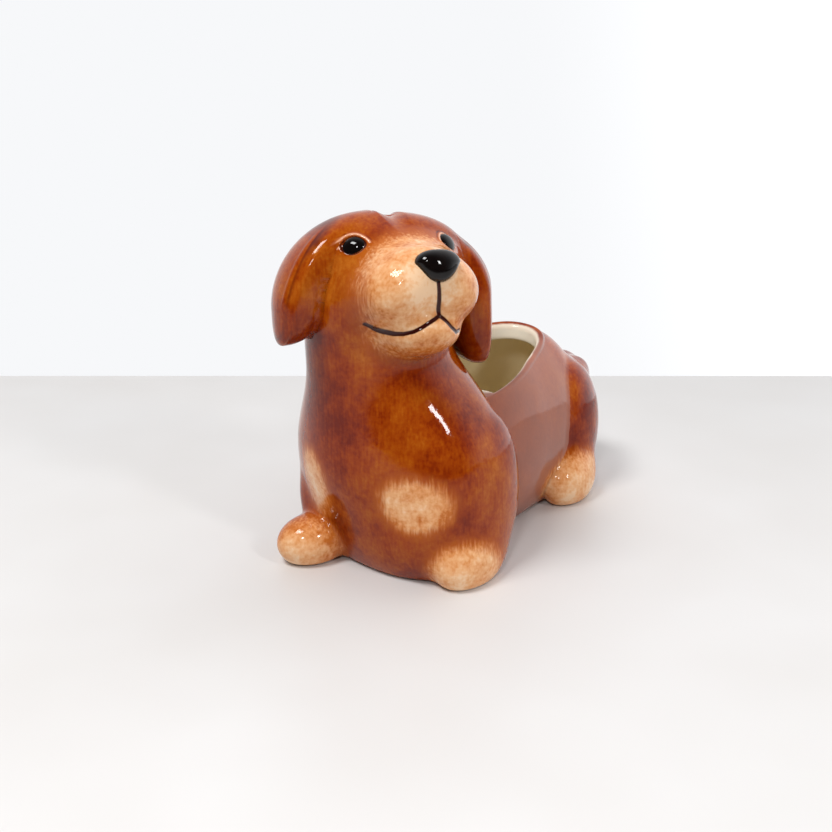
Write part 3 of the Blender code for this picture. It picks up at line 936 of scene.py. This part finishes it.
    def glazed_over(self, tree: bpy.types.NodeTree, under: bpy.types.NodeSocket,
                    source: bpy.types.NodeSocket, start: float, end: float, most: float,
                    over: tuple | bpy.types.NodeSocket) -> bpy.types.NodeSocket:
        """Lay one colour over another where a measure runs from start to end.

        Args:
            tree: Tree that gets the nodes.
            under: Colour below.
            source: The measure.
            start: Where the upper colour begins.
            end: Where it is full.
            most: Its cover there, up to 1.
            over: The upper colour.

        Returns:
            The mixed colour.
        """
        cover = add_node(tree, "ShaderNodeMapRange", {"interpolation_type": "SMOOTHSTEP"}, {
            "Value": source, "From Min": start, "From Max": end, "To Min": 0.0, "To Max": most})
        mixed = add_node(tree, "ShaderNodeMix", {"data_type": "RGBA"}, {
            0: cover.outputs["Result"], 6: under, 7: over})
        return mixed.outputs[2]


@dataclass(frozen=True)
class BlackGlaze:
    """Black underglaze under the clear glaze: near black, with a hard wet shine."""
    name: str = "black_glazed_earthenware"
    deep: str = "#070404"
    thin: str = "#0E0706"
    gloss: float = 0.045

    def build(self) -> bpy.types.Material:
        """A slightly browner black where the colour is thin, in clouds 3 mm across."""
        material = bpy.data.materials.new(self.name)
        material.use_nodes = True
        tree = material.node_tree
        tree.nodes.clear()
        place = add_node(tree, "ShaderNodeTexCoord").outputs["Object"]
        clouds = add_node(tree, "ShaderNodeTexNoise", links={
            "Vector": place, "Scale": 1000 / 3, "Detail": 3.0}).outputs["Fac"]
        colour = add_node(tree, "ShaderNodeValToRGB", links={"Fac": clouds},
                          ramp=[(0.35, self.deep), (0.75, self.thin)]).outputs["Color"]
        bump = add_node(tree, "ShaderNodeBump", links={
            "Height": clouds, "Strength": 1.0, "Distance": 0.04 * MM}).outputs["Normal"]
        shader = add_node(tree, "ShaderNodeBsdfPrincipled", links={
            "Base Color": colour, "Roughness": self.gloss, "IOR": 1.36, "Normal": bump})
        add_node(tree, "ShaderNodeOutputMaterial", links={"Surface": shader.outputs["BSDF"]})
        return material


@dataclass(frozen=True)
class PaleTable:
    """Matt white laminate of the table top, faintly mottled in patches 80 mm across, with painted shade that
    darkens it towards the camera.
    """
    name: str = "white_laminate_table"
    light: str = "#DAD9D8"
    dark: str = "#D5D3D1"
    # dark painted shade for the table towards the camera
    far: str = "#4C4745"
    ahead: tuple = (0.515, -0.857, 0.0)

    def build(self) -> bpy.types.Material:
        """Two close whites over a soft, barely glossy base, fading to a dark painted shade from 190 to 400 mm
        towards the camera.
        """
        material = bpy.data.materials.new(self.name)
        material.use_nodes = True
        tree = material.node_tree
        tree.nodes.clear()
        place = add_node(tree, "ShaderNodeTexCoord").outputs["Object"]
        clouds = add_node(tree, "ShaderNodeTexNoise", links={
            "Vector": place, "Scale": 1000 / 80, "Detail": 2.0}).outputs["Fac"]
        colour = add_node(tree, "ShaderNodeValToRGB", links={"Fac": clouds},
                          ramp=[(0.3, self.dark), (0.7, self.light)]).outputs["Color"]
        # Painted shade: towards the camera the table turns dark, standing in for the dim side of the room, so
        # the glaze reflects no bright table there.
        forward = add_node(tree, "ShaderNodeVectorMath", {"operation": "DOT_PRODUCT"},
                           {0: place, 1: self.ahead}).outputs["Value"]
        fade = add_node(tree, "ShaderNodeMapRange", {"interpolation_type": "SMOOTHSTEP"}, {
            "Value": forward, "From Min": 0.19, "From Max": 0.40, "To Min": 0.0, "To Max": 1.0})
        colour = add_node(tree, "ShaderNodeMix", {"data_type": "RGBA"}, {
            0: fade.outputs["Result"], 6: colour, 7: linear(self.far)}).outputs[2]
        shader = add_node(tree, "ShaderNodeBsdfPrincipled", links={
            "Base Color": colour, "Roughness": 0.45, "IOR": 1.45})
        add_node(tree, "ShaderNodeOutputMaterial", links={"Surface": shader.outputs["BSDF"]})
        return material


class Paint(Enum):
    """The finishes by use."""
    BROWN = "brown_glaze"
    CREAM = "cream_glaze"
    BLACK = "black_glaze"


# ---------------------------------------------------------------------------------------------
# Pieces
# ---------------------------------------------------------------------------------------------
@dataclass
class Casting:
    """One lump of the body as a closed skin, cast from a globe of rays about a centre inside it."""
    name: str
    node: str
    paint: Paint
    lump: Lump
    near: tuple
    centre: tuple
    rings: int = 110
    spokes: int = 150
    reach: float = 90.0
    tucked: bool = False

    def surface(self) -> Surface:
        """Skin points in every direction, the lump's neighbours taken into account."""
        origins, rays = globe(np.array(self.centre), self.rings, self.spokes)
        return close_grid(skin_grid(self.distance, origins, rays, self.reach))

    def distance(self, p: Array) -> Array:
        """Distance to this lump's own skin."""
        return PUPPY.skin(p, self.lump, self.near)

    def plain(self, p: Array) -> Array:
        """Distance to the joined body near this lump."""
        return PUPPY.joined(p, [lump for lump in Lump if lump is self.lump or lump in self.near])[0]

    def build(self) -> Surface:
        """The skin with its paint measures and, on the barrel, a painted sheen, tucked into the trough's wall
        where it meets it.
        """
        surface = self.surface()
        measure(surface, self.plain)
        if self.lump is Lump.BARREL:
            # Painted sheen: a pinkish tone over the barrel's flank on the puppy's left, ahead of the rump, for
            # the reflection of the white room.
            x, y = surface.points[:, 0], surface.points[:, 1]
            surface.measures["painted_sheen"] = ease(46.0 - y, 0.0, 16.0) * ease(x, -12.0, 8.0)
        if self.tucked:
            surface.points = tuck(surface.points)
        return surface


def tuck(points: Array, deep: float = 1.6) -> Array:
    """Slide points that lie deeper than deep inside the barrel out to that depth, so that a leg
    ends within the trough's wall: each step follows the barrel's own slope.

    Args:
        points: Points in mm.
        deep: Greatest depth kept, less than the wall.

    Returns:
        The points, most of them unmoved.
    """
    p = points.copy()
    for _ in range(12):
        depth = PUPPY.distance(p, Lump.BARREL, True)
        inside = depth < -deep
        q = p[inside]
        slope = np.stack([PUPPY.distance(q + 0.1 * axis, Lump.BARREL, True)
                          - PUPPY.distance(q - 0.1 * axis, Lump.BARREL, True) for axis in np.eye(3)], 1)
        slope /= np.linalg.norm(slope, axis=1, keepdims=True) + 1e-9
        p[inside] = q + slope * (-deep - depth[inside])[:, None]
    return p


def measure(surface: Surface, volume: Callable[[Array], Array]) -> None:
    """Write the paint measures of a skin: cream, lines, lids, creases for pooled glaze and painted
    shade, ridges for drawn-off glaze and painted highlight, and foot.

    Args:
        surface: The skin that gets them.
        volume: Distance to the joined body, which tells creases from ridges.
    """
    p = surface.points
    bend = bend_of(volume, p, 1.1)
    h = HEAD.local(p)
    edge = np.minimum.reduce([np.abs(eye.outline(h)[0]) + 0.35 for eye in EYES])
    lid = np.minimum.reduce([eye.lid(h) for eye in EYES])
    before = h[:, 1] > 6.0
    surface.measures.setdefault("inside_mm", np.full(len(p), -5.0))
    surface.measures.update({
        "cream_mm": cream_distance(p),
        "line_mm": np.minimum(np.where(before, np.minimum(FACE.lines(h), edge), 12.0), 12.0),
        "lid_mm": np.minimum(np.where(before, lid, 12.0), 12.0),
        # creases: partly pooled glaze, partly painted shade
        "pool_and_shade": ease(-bend, 0.10, 0.75),
        # ridges: partly drawn-off glaze, partly painted highlight
        "ridge": ease(bend, 0.28, 0.95),
        "foot": np.clip(1.6 - p[:, 2] * 4.0, 0.0, 1.0),
        # no painted sheen here; the barrel sets its own
        "painted_sheen": np.zeros(len(p)),
    })


@dataclass
class Ear(Casting):
    """Hanging ear: rays start on the middle of the flap and swing from its face over its edge."""

    def surface(self) -> Surface:
        """Origins slide from the middle of the flap to three quarters of its width and back.

        The rays point off the outer face, swing round the edge while the origin waits there, and
        come back along the inner face.
        """
        out, ahead, up = ear_axes(FLAPS[self.lump].side)
        rows = 96
        s = np.linspace(0.0, 1.0, rows + 1)
        slide = 0.76 * np.clip(np.minimum(s, 1.0 - s) / 0.34, 0.0, 1.0)
        swing = math.pi * ease(s, 0.26, 0.74)
        around = np.linspace(0.0, 2.0 * math.pi, 120, endpoint=False)
        rho, b = np.meshgrid(slide, around, indexing="ij")
        tilt = np.broadcast_to(swing[:, None], rho.shape)
        middle = self.middle(rho * np.cos(b), rho * np.sin(b), out, ahead, up)
        step = 1e-3
        along_a = self.middle(rho * np.cos(b) + step, rho * np.sin(b), out, ahead, up) - middle
        along_b = self.middle(rho * np.cos(b), rho * np.sin(b) + step, out, ahead, up) - middle
        normal = np.cross(along_a, along_b)
        normal /= np.linalg.norm(normal, axis=-1, keepdims=True)
        normal *= np.sign(normal @ out)[..., None]
        outward = along_a * np.cos(b)[..., None] + along_b * np.sin(b)[..., None]
        outward /= np.linalg.norm(outward, axis=-1, keepdims=True)
        rays = normal * np.cos(tilt)[..., None] + outward * np.sin(tilt)[..., None]
        return close_grid(skin_grid(self.distance, middle, rays, self.reach))

    def middle(self, a: Array, b: Array, out: Array, ahead: Array, up: Array) -> Array:
        """Point of the flap's middle sheet for a place on the drop.

        Args:
            a: Place across, -1 to 1.
            b: Place along, -1 to 1.
            out: The ear's outward axis.
            ahead: Its forward axis.
            up: Its upward axis.

        Returns:
            Points of the same shape as a, in mm.
        """
        flap = FLAPS[self.lump]
        w = flap.middle + flap.half[1] * b
        f = -flap.back + flap.lean * w + flap.half[0] * a * (1.0 - flap.taper * b)
        ring, tall = flap.ring
        over = np.clip(np.maximum(w - flap.hinge, 0.0) / tall, 0.0, 0.95)
        o = ring * np.sqrt(1.0 - over ** 2) - f ** 2 / (2.0 * HEAD.half[0])
        o = o + flap.flare * np.maximum(flap.hinge - w, 0.0)
        return np.array(HEAD.centre) + o[..., None] * out + f[..., None] * ahead + w[..., None] * up


@dataclass
class Trough(Casting):
    """The open body: an outer skin, a rounded lip in a sloping plane, and an inner skin with a floor."""
    wall: float = 3.2
    lip: float = 2.7
    floor: float = 3.5
    rise: float = 1.4
    columns: int = 300

    def distance(self, p: Array) -> Array:
        """Distance to the outer skin, closed on top so that it can be cut at any lip."""
        return PUPPY.skin(p, self.lump, self.near, True)

    def hollow(self, p: Array) -> Array:
        """Distance to the hollow: the barrel less its wall, off the breast by a wall, above a floor.

        Args:
            p: Points, one per row.

        Returns:
            Distance in mm, negative in the hollow.
        """
        barrel = PUPPY.distance(p, Lump.BARREL, True) + self.wall
        breast = self.wall - PUPPY.distance(p, Lump.BREAST)
        return carve(carve(barrel, breast, 4.0), self.floor - p[:, 2], 6.0)

    def surface(self) -> Surface:
        """Three sheets on one set of spokes about an upright axis, from the foot to the floor.

        Outer rows run from straight down to the lip, the lip is a flat-topped arch, and inner rows
        run from the lip down to the middle of the floor.
        """
        axis = np.array(self.centre)
        turn = np.linspace(0.0, 2.0 * math.pi, self.columns, endpoint=False)
        level = np.stack([np.cos(turn), np.sin(turn)], 1)
        tilt = level @ np.array([PUPPY.rim_lean, PUPPY.rim_slope])
        start = PUPPY.rim_level(axis[0], axis[1])
        root = np.broadcast_to(np.array([axis[0], axis[1], start]), (self.columns, 3))
        plane = np.concatenate([level, tilt[:, None]], 1)
        plane_length = np.linalg.norm(plane, axis=1)
        rays = plane / plane_length[:, None]
        outer = first_crossing(self.distance, root, rays, self.reach) / plane_length
        breast = first_crossing(lambda q: -PUPPY.distance(q, Lump.BREAST), root, rays, self.reach)
        breast = breast / plane_length
        inner = blend(outer, breast, 30.0) - self.lip
        outer = np.minimum(outer, breast + 4.0)

        def section(radius: Array, drop: Array | float) -> Array:
            """Point at a radius in the plane of the lip, lowered by drop.

            Args:
                radius: Radius of each spoke, measured level.
                drop: How far below the plane.

            Returns:
                One point per spoke.
            """
            point = np.array([axis[0], axis[1], start]) + radius[:, None] * plane
            point[:, 2] -= drop
            return point

        def fan(first: Array, count: int, centre: Array, volume: Callable) -> Array:
            """Rows of skin points between straight down and the point first of each spoke.

            Args:
                first: Where each spoke's top row points, one per spoke.
                count: Number of rows.
                centre: Where the rays start.
                volume: Distance function of the skin.

            Returns:
                Points by row and spoke.
            """
            rel = first - centre
            top = np.arctan2(rel[:, 2], np.hypot(rel[:, 0], rel[:, 1]))
            share = np.linspace(0.0, 1.0, count)
            angle = -0.5 * math.pi + share[:, None] * (top + 0.5 * math.pi)[None]
            spread = np.stack([np.cos(angle) * level[None, :, 0], np.cos(angle) * level[None, :, 1],
                               np.sin(angle)], -1)
            return skin_grid(volume, np.broadcast_to(centre, spread.shape).copy(), spread, self.reach)

        crest = section(outer, self.rise)
        outside = fan(crest, 150, np.array([axis[0], axis[1], 30.0]), self.distance)
        arch = []
        brink = section(inner, self.rise)
        across = np.linalg.norm(brink - outside[-1], axis=1)
        for share in 0.5 - 0.5 * np.cos(np.linspace(0.0, math.pi, 19)):
            side = np.minimum(min(share, 1.0 - share) * across / self.rise, 1.0)
            row = outside[-1] + share * (brink - outside[-1])
            row[:, 2] += self.rise * np.sqrt(np.maximum(1.0 - (1.0 - side) ** 2, 0.0))
            arch.append(row)
        well = np.array([axis[0] + 1.0, axis[1] + 2.0, 34.0])
        inside = self.inner_sheet(brink, well)
        grid = np.concatenate([outside[:-1], np.stack(arch), inside[1:]])
        surface = close_grid(grid)
        depth = np.full(len(surface.points), -5.0)
        first_inside = 1 + (len(outside) - 2) * self.columns
        p = surface.points[first_inside:]
        below = PUPPY.rim_level(p[:, 0], p[:, 1]) - p[:, 2]
        arch_rows = np.repeat(np.linspace(-4.0, 1.5, 19), self.columns)
        depth[first_inside:] = below
        depth[first_inside:first_inside + len(arch_rows)] = arch_rows
        surface.measures["inside_mm"] = depth
        return surface

    def inner_sheet(self, top: Array, well: Array) -> Array:
        """Rows from the lip down to the middle of the floor.

        The rays leave one point in the hollow; near the lip the sheet stays as wide as the lip is,
        and below that it widens to the wall's own inner skin.

        Args:
            top: The lip's inner edge, one point per spoke.
            well: Point that the rays leave.

        Returns:
            Points by row and spoke, starting with top.
        """
        rel = top - well
        heading = np.arctan2(rel[:, 1], rel[:, 0])
        high = np.arctan2(rel[:, 2], np.hypot(rel[:, 0], rel[:, 1]))
        share = np.linspace(1.0, 0.0, 120)
        angle = -0.5 * math.pi + share[:, None] * (high + 0.5 * math.pi)[None]
        rays = np.stack([np.cos(angle) * np.cos(heading), np.cos(angle) * np.sin(heading), np.sin(angle)], -1)
        points = skin_grid(self.hollow_below, np.broadcast_to(well, rays.shape).copy(), rays, self.reach)
        reach = np.linalg.norm(points - well, axis=-1)
        straight = np.hypot(rel[:, 0], rel[:, 1])[None] / np.maximum(np.cos(angle), 0.05)
        level_z = well[2] + straight * np.sin(angle)
        near_lip = ease(level_z, (top[:, 2] - 9.0)[None], (top[:, 2] - 3.0)[None])
        reach = reach + near_lip * (straight - reach)
        points = well + rays * reach[..., None]
        points[0] = top
        return points

    def hollow_below(self, p: Array) -> Array:
        """The hollow, closed at the plane of the lip so that no ray escapes."""
        return np.maximum(self.hollow(p), p[:, 2] - PUPPY.rim_level(p[:, 0], p[:, 1]) - 2.0)


@dataclass
class Bead:
    """Nose pad or eye: a modelled egg in the head's axes, flattened where it is asked to be."""
    name: str
    node: str
    eye: Eye | None = None
    centre: tuple = (1.9, 34.3, 0.9)
    half: tuple = (7.4, 4.8, 5.0)
    sunk: float = 1.2

    def seat(self) -> float:
        """How far the face's skin lies outwards of the eye's centre, along the way it looks."""
        out = HEAD.axes @ self.eye.frame()[2]
        start = HEAD.place(*self.eye.centre) - 8.0 * out
        face = first_crossing(lambda q: PUPPY.joined(q, list(HEAD_LUMPS))[0], start[None], out[None], 24.0)
        return float(face[0]) - 8.0

    def volume(self, p: Array) -> Array:
        """Distance to the bead: an eye is an egg set in its lids, the nose an egg with a chin.

        Args:
            p: Points, one per row.

        Returns:
            Distance in mm, negative inside.
        """
        h = HEAD.local(p)
        if self.eye is not None:
            a, b, n = self.eye.flat(h)
            q = np.stack([a + 0.6 * self.eye.side, b, n - self.seat() + self.sunk], 1)
            return egg(q, (0.0, 0.0, 0.0), (self.eye.half[0] + 1.2, self.eye.half[1] + 0.9, 2.8))
        narrow = 1.0 + 0.10 * np.maximum(self.centre[2] + 1.0 - h[:, 2], 0.0)
        q = h - np.array(self.centre)
        q[:, 0] *= narrow
        return egg(q, (0.0, 0.0, 0.0), self.half, None, 2.4)

    def build(self) -> Surface:
        """Skin cast from the middle of the bead."""
        h = self.eye.centre if self.eye is not None else self.centre
        middle = HEAD.place(*h)
        if self.eye is not None:
            middle = middle + HEAD.axes @ (self.eye.frame()[2] * (self.seat() - self.sunk))
        origins, rays = globe(middle, 70, 96)
        surface = close_grid(skin_grid(self.volume, origins, rays, 20.0))
        return surface


BODY_NEAR = (Lump.BARREL, Lump.BREAST)
CASTINGS = (
    Trough("trough_body", "pot_body_shell", Paint.BROWN, Lump.BARREL,
           (Lump.BREAST, Lump.FORE_LEFT, Lump.HIND_LEFT, Lump.HIND_RIGHT, Lump.TAIL), (2.0, 20.0, 30.0)),
    Casting("breast_and_neck", "chest_neck_shell", Paint.BROWN, Lump.BREAST,
            (Lump.BARREL, Lump.SKULL, Lump.MUZZLE, Lump.JAW, Lump.FORE_LEFT, Lump.FORE_RIGHT, Lump.EAR_LEFT,
             Lump.EAR_RIGHT), (-2.0, -36.0, 44.0), 230, 330),
    Casting("skull", "head_shell", Paint.BROWN, Lump.SKULL,
            (Lump.BREAST, Lump.MUZZLE, Lump.JAW, Lump.EAR_LEFT, Lump.EAR_RIGHT),
            tuple(HEAD.place(0.0, 0.0, 1.0)), 230, 330, 60.0),
    Casting("muzzle", "muzzle", Paint.CREAM, Lump.MUZZLE,
            (Lump.BREAST, Lump.SKULL, Lump.JAW), tuple(HEAD.place(0.8, 15.0, -3.5)), 190, 250, 45.0),
    Casting("lower_jaw", "lower_jaw", Paint.CREAM, Lump.JAW,
            (Lump.BREAST, Lump.SKULL, Lump.MUZZLE), tuple(HEAD.place(2.0, 17.0, -17.2)), 120, 160, 40.0),
    Ear("ear_left", "ear_left", Paint.BROWN, Lump.EAR_LEFT, (Lump.BREAST, Lump.SKULL, Lump.MUZZLE),
        (0.0, 0.0, 0.0), reach=40.0),
    Ear("ear_right", "ear_right", Paint.BROWN, Lump.EAR_RIGHT, (Lump.BREAST, Lump.SKULL, Lump.MUZZLE),
        (0.0, 0.0, 0.0), reach=40.0),
    Casting("foreleg_left", "foreleg_left", Paint.CREAM, Lump.FORE_LEFT, BODY_NEAR, (31.5, -35.0, 15.0),
            130, 180, 60.0),
    Casting("foreleg_right", "foreleg_right", Paint.CREAM, Lump.FORE_RIGHT, BODY_NEAR, (-25.0, -47.0, 11.0),
            130, 180, 60.0),
    Casting("hind_leg_left", "hind_leg_left", Paint.CREAM, Lump.HIND_LEFT, (Lump.BARREL, Lump.TAIL),
            (30.0, 41.0, 14.0), 130, 180, 60.0, tucked=True),
    Casting("hind_leg_right", "hind_leg_right", Paint.CREAM, Lump.HIND_RIGHT, (Lump.BARREL, Lump.TAIL),
            (-25.0, 42.0, 14.0), 130, 180, 60.0, tucked=True),
    Casting("tail", "tail", Paint.BROWN, Lump.TAIL, (Lump.BARREL, Lump.HIND_LEFT, Lump.HIND_RIGHT),
            (14.0, 65.0, 41.0), 80, 110, 40.0, tucked=True),
)
BEADS = (Bead("nose_pad", "nose_pad"), Bead("eye_left", "eye_left", EYES[0]),
         Bead("eye_right", "eye_right", EYES[1]))


# ---------------------------------------------------------------------------------------------
# Studio
# ---------------------------------------------------------------------------------------------
@dataclass(frozen=True)
class Studio:
    """Pale table, soft white room and the camera. Lengths in mm, angles in degrees."""
    azimuth: float = 31.0
    elevation: float = 20.0
    distance: float = 400.0
    target: tuple = (11.1, -42.1, 55.0)
    lens: float = 52.2
    table_behind: float = 211.0

    def toward(self, azimuth: float, elevation: float) -> Array:
        """Unit vector from the object out to a place at an azimuth and elevation."""
        a, e = math.radians(azimuth), math.radians(elevation)
        return np.array([math.sin(a) * math.cos(e), -math.cos(a) * math.cos(e), math.sin(e)])

    def camera(self) -> None:
        """Camera that looks at the target, with a short telephoto lens."""
        data = bpy.data.cameras.new("camera")
        data.lens, data.sensor_width = self.lens, 36.0
        data.clip_start, data.clip_end = 0.01, 20.0
        obj = bpy.data.objects.new("camera", data)
        bpy.context.collection.objects.link(obj)
        out = self.toward(self.azimuth, self.elevation)
        right = np.cross([0.0, 0.0, 1.0], out)
        right /= np.linalg.norm(right)
        place = (np.array(self.target) + out * self.distance) * MM
        rows = np.eye(4)
        rows[:3, 0], rows[:3, 1], rows[:3, 2], rows[:3, 3] = right, np.cross(out, right), out, place
        obj.matrix_world = Matrix(rows.tolist())
        bpy.context.scene.camera = obj

    def table(self) -> None:
        """A wide pale sheet that ends in a straight edge behind the object."""
        away = -self.toward(self.azimuth, 0.0)
        side = np.cross([0.0, 0.0, 1.0], away)
        middle = np.array(self.target) * np.array([1.0, 1.0, 0.0])
        corners = [middle + away * a + side * b for a, b in
                   ((self.table_behind, 2500), (self.table_behind, -2500), (-2500, -2500), (-2500, 2500))]
        mesh = bpy.data.meshes.new("table")
        mesh.from_pydata([tuple(c * MM) for c in corners], [], [(0, 3, 2, 1)])
        mesh.update()
        obj = bpy.data.objects.new("table", mesh)
        bpy.context.collection.objects.link(obj)
        mesh.materials.append(PaleTable().build())

    def softbox(self, name: str, azimuth: float, elevation: float, far: float, size: tuple,
                power: float, colour: str = "#FFFFFF") -> None:
        """A rectangular lamp that faces the object.

        Args:
            name: Name of the lamp.
            azimuth: Degrees round from the front, towards the puppy's left.
            elevation: Degrees up.
            far: Distance from the object in mm.
            size: Width and height in mm.
            power: Watts.
            colour: Hex colour of the light.
        """
        data = bpy.data.lights.new(name, "AREA")
        data.shape, data.size, data.size_y = "RECTANGLE", size[0] * MM, size[1] * MM
        data.energy, data.color = power, linear(colour)[:3]
        obj = bpy.data.objects.new(name, data)
        bpy.context.collection.objects.link(obj)
        out = self.toward(azimuth, elevation)
        right = np.cross([0.0, 0.0, 1.0], out)
        right /= np.linalg.norm(right)
        rows = np.eye(4)
        rows[:3, 0], rows[:3, 1], rows[:3, 2] = right, np.cross(out, right), out
        rows[:3, 3] = (np.array([0.0, -10.0, 50.0]) + out * far) * MM
        obj.matrix_world = Matrix(rows.tolist())

    def room(self) -> None:
        """A white room: full white behind and above, dimmer on the camera's side."""
        world = bpy.data.worlds.new("white_room")
        world.use_nodes = True
        tree = world.node_tree
        tree.nodes.clear()
        way = add_node(tree, "ShaderNodeTexCoord").outputs["Generated"]
        front = self.toward(self.azimuth - 12.0, 8.0)
        facing = add_node(tree, "ShaderNodeVectorMath", {"operation": "DOT_PRODUCT"},
                          {0: way, 1: tuple(front)}).outputs["Value"]
        dim = add_node(tree, "ShaderNodeMapRange", {"interpolation_type": "SMOOTHERSTEP"}, {
            "Value": facing, "From Min": -0.55, "From Max": 0.6, "To Min": 0.0, "To Max": 1.0})
        colour = add_node(tree, "ShaderNodeMix", {"data_type": "RGBA"}, {
            0: dim.outputs["Result"], 6: linear("#F7F8FA"), 7: linear("#5A524F")}).outputs[2]
        bright = add_node(tree, "ShaderNodeVectorMath", {"operation": "DOT_PRODUCT"},
                          {0: way, 1: tuple(self.toward(138.0, 4.0))}).outputs["Value"]
        strength = add_node(tree, "ShaderNodeMapRange", {"interpolation_type": "SMOOTHSTEP"}, {
            "Value": bright, "From Min": 0.35, "From Max": 0.95, "To Min": 1.0, "To Max": 1.9})
        shade = add_node(tree, "ShaderNodeBackground", links={
            "Color": colour, "Strength": strength.outputs["Result"]})
        add_node(tree, "ShaderNodeOutputWorld", links={"Surface": shade.outputs["Background"]})
        bpy.context.scene.world = world

    def build(self) -> None:
        """Camera, table, room and lamps."""
        bpy.context.scene.view_settings.view_transform = "Standard"
        self.camera()
        self.table()
        self.room()
        self.softbox("window_front", 22.0, 37.0, 900.0, (90.0, 120.0), 1.7)
        self.softbox("window_side", 72.0, 32.0, 900.0, (90.0, 140.0), 1.7)
        self.softbox("window_high", -15.0, 60.0, 900.0, (300.0, 200.0), 5.0)


# ---------------------------------------------------------------------------------------------
# Assembly
# ---------------------------------------------------------------------------------------------
@dataclass
class Figurine:
    """All the pieces, moved together on to the frame's footprint and dressed."""
    surfaces: list = field(default_factory=list)

    def add(self, name: str, node: str, paint: Paint, surface: Surface) -> None:
        """Keep a finished skin until all of them are known."""
        self.surfaces.append((name, node, paint, surface))

    def shift(self) -> Array:
        """Move that puts the footprint's middle on that of the frame, in mm."""
        low = np.min([s.points.min(0) for *_, s in self.surfaces], 0)
        high = np.max([s.points.max(0) for *_, s in self.surfaces], 0)
        wanted = 0.5 * (np.array(CAD_LOW) + np.array(CAD_HIGH)) / MM
        move = wanted - 0.5 * (low + high)
        move[2] = 0.0
        return move

    def write(self, materials: dict) -> None:
        """Make each piece's mesh in metres, with its measures, finish and place in the frame.

        Args:
            materials: Material of each paint.
        """
        move = self.shift()
        for name, node, paint, surface in self.surfaces:
            mesh = bpy.data.meshes.new(name)
            points = (surface.points + move) * MM
            mesh.from_pydata(points.tolist(), [], surface.quads.tolist() + surface.caps.tolist())
            mesh.polygons.foreach_set("use_smooth", np.ones(len(mesh.polygons), bool))
            for key, values in surface.measures.items():
                layer = mesh.attributes.new(key, "FLOAT", "POINT")
                layer.data.foreach_set("value", np.ascontiguousarray(values, np.float32))
            self.face_outward(mesh)
            mesh.materials.append(materials[paint])
            obj = bpy.data.objects.new(name, mesh)
            bpy.context.collection.objects.link(obj)
            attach(obj, "root")
            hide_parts(node)
            LOG.info("%s: %d faces", name, len(mesh.polygons))

    def face_outward(self, mesh: bpy.types.Mesh) -> None:
        """Turn every face over if the mesh's signed volume is negative.

        Args:
            mesh: Closed mesh.
        """
        mesh.calc_loop_triangles()
        corners = np.empty(len(mesh.loop_triangles) * 3, np.int32)
        mesh.loop_triangles.foreach_get("vertices", corners)
        points = np.empty(len(mesh.vertices) * 3)
        mesh.vertices.foreach_get("co", points)
        a, b, c = points.reshape(-1, 3)[corners.reshape(-1, 3)].transpose(1, 0, 2)
        if np.einsum("ij,ij->i", a, np.cross(b, c)).sum() < 0.0:
            mesh.flip_normals()
        mesh.update()


def main() -> None:
    """Build, dress and place every piece, then the studio."""
    logging.basicConfig(level=logging.INFO, format="%(message)s")
    materials = {Paint.BROWN: BrushedGlaze("brown_glazed_earthenware").build(),
                 Paint.CREAM: BrushedGlaze("cream_glazed_earthenware").build(),
                 Paint.BLACK: BlackGlaze().build()}
    figurine = Figurine()
    for casting in CASTINGS:
        figurine.add(casting.name, casting.node, casting.paint, casting.build())
        LOG.info("%s is cast", casting.name)
    for bead in BEADS:
        figurine.add(bead.name, bead.node, Paint.BLACK, bead.build())
    figurine.write(materials)
    Studio().build()


if __name__ == "__main__":
    main()
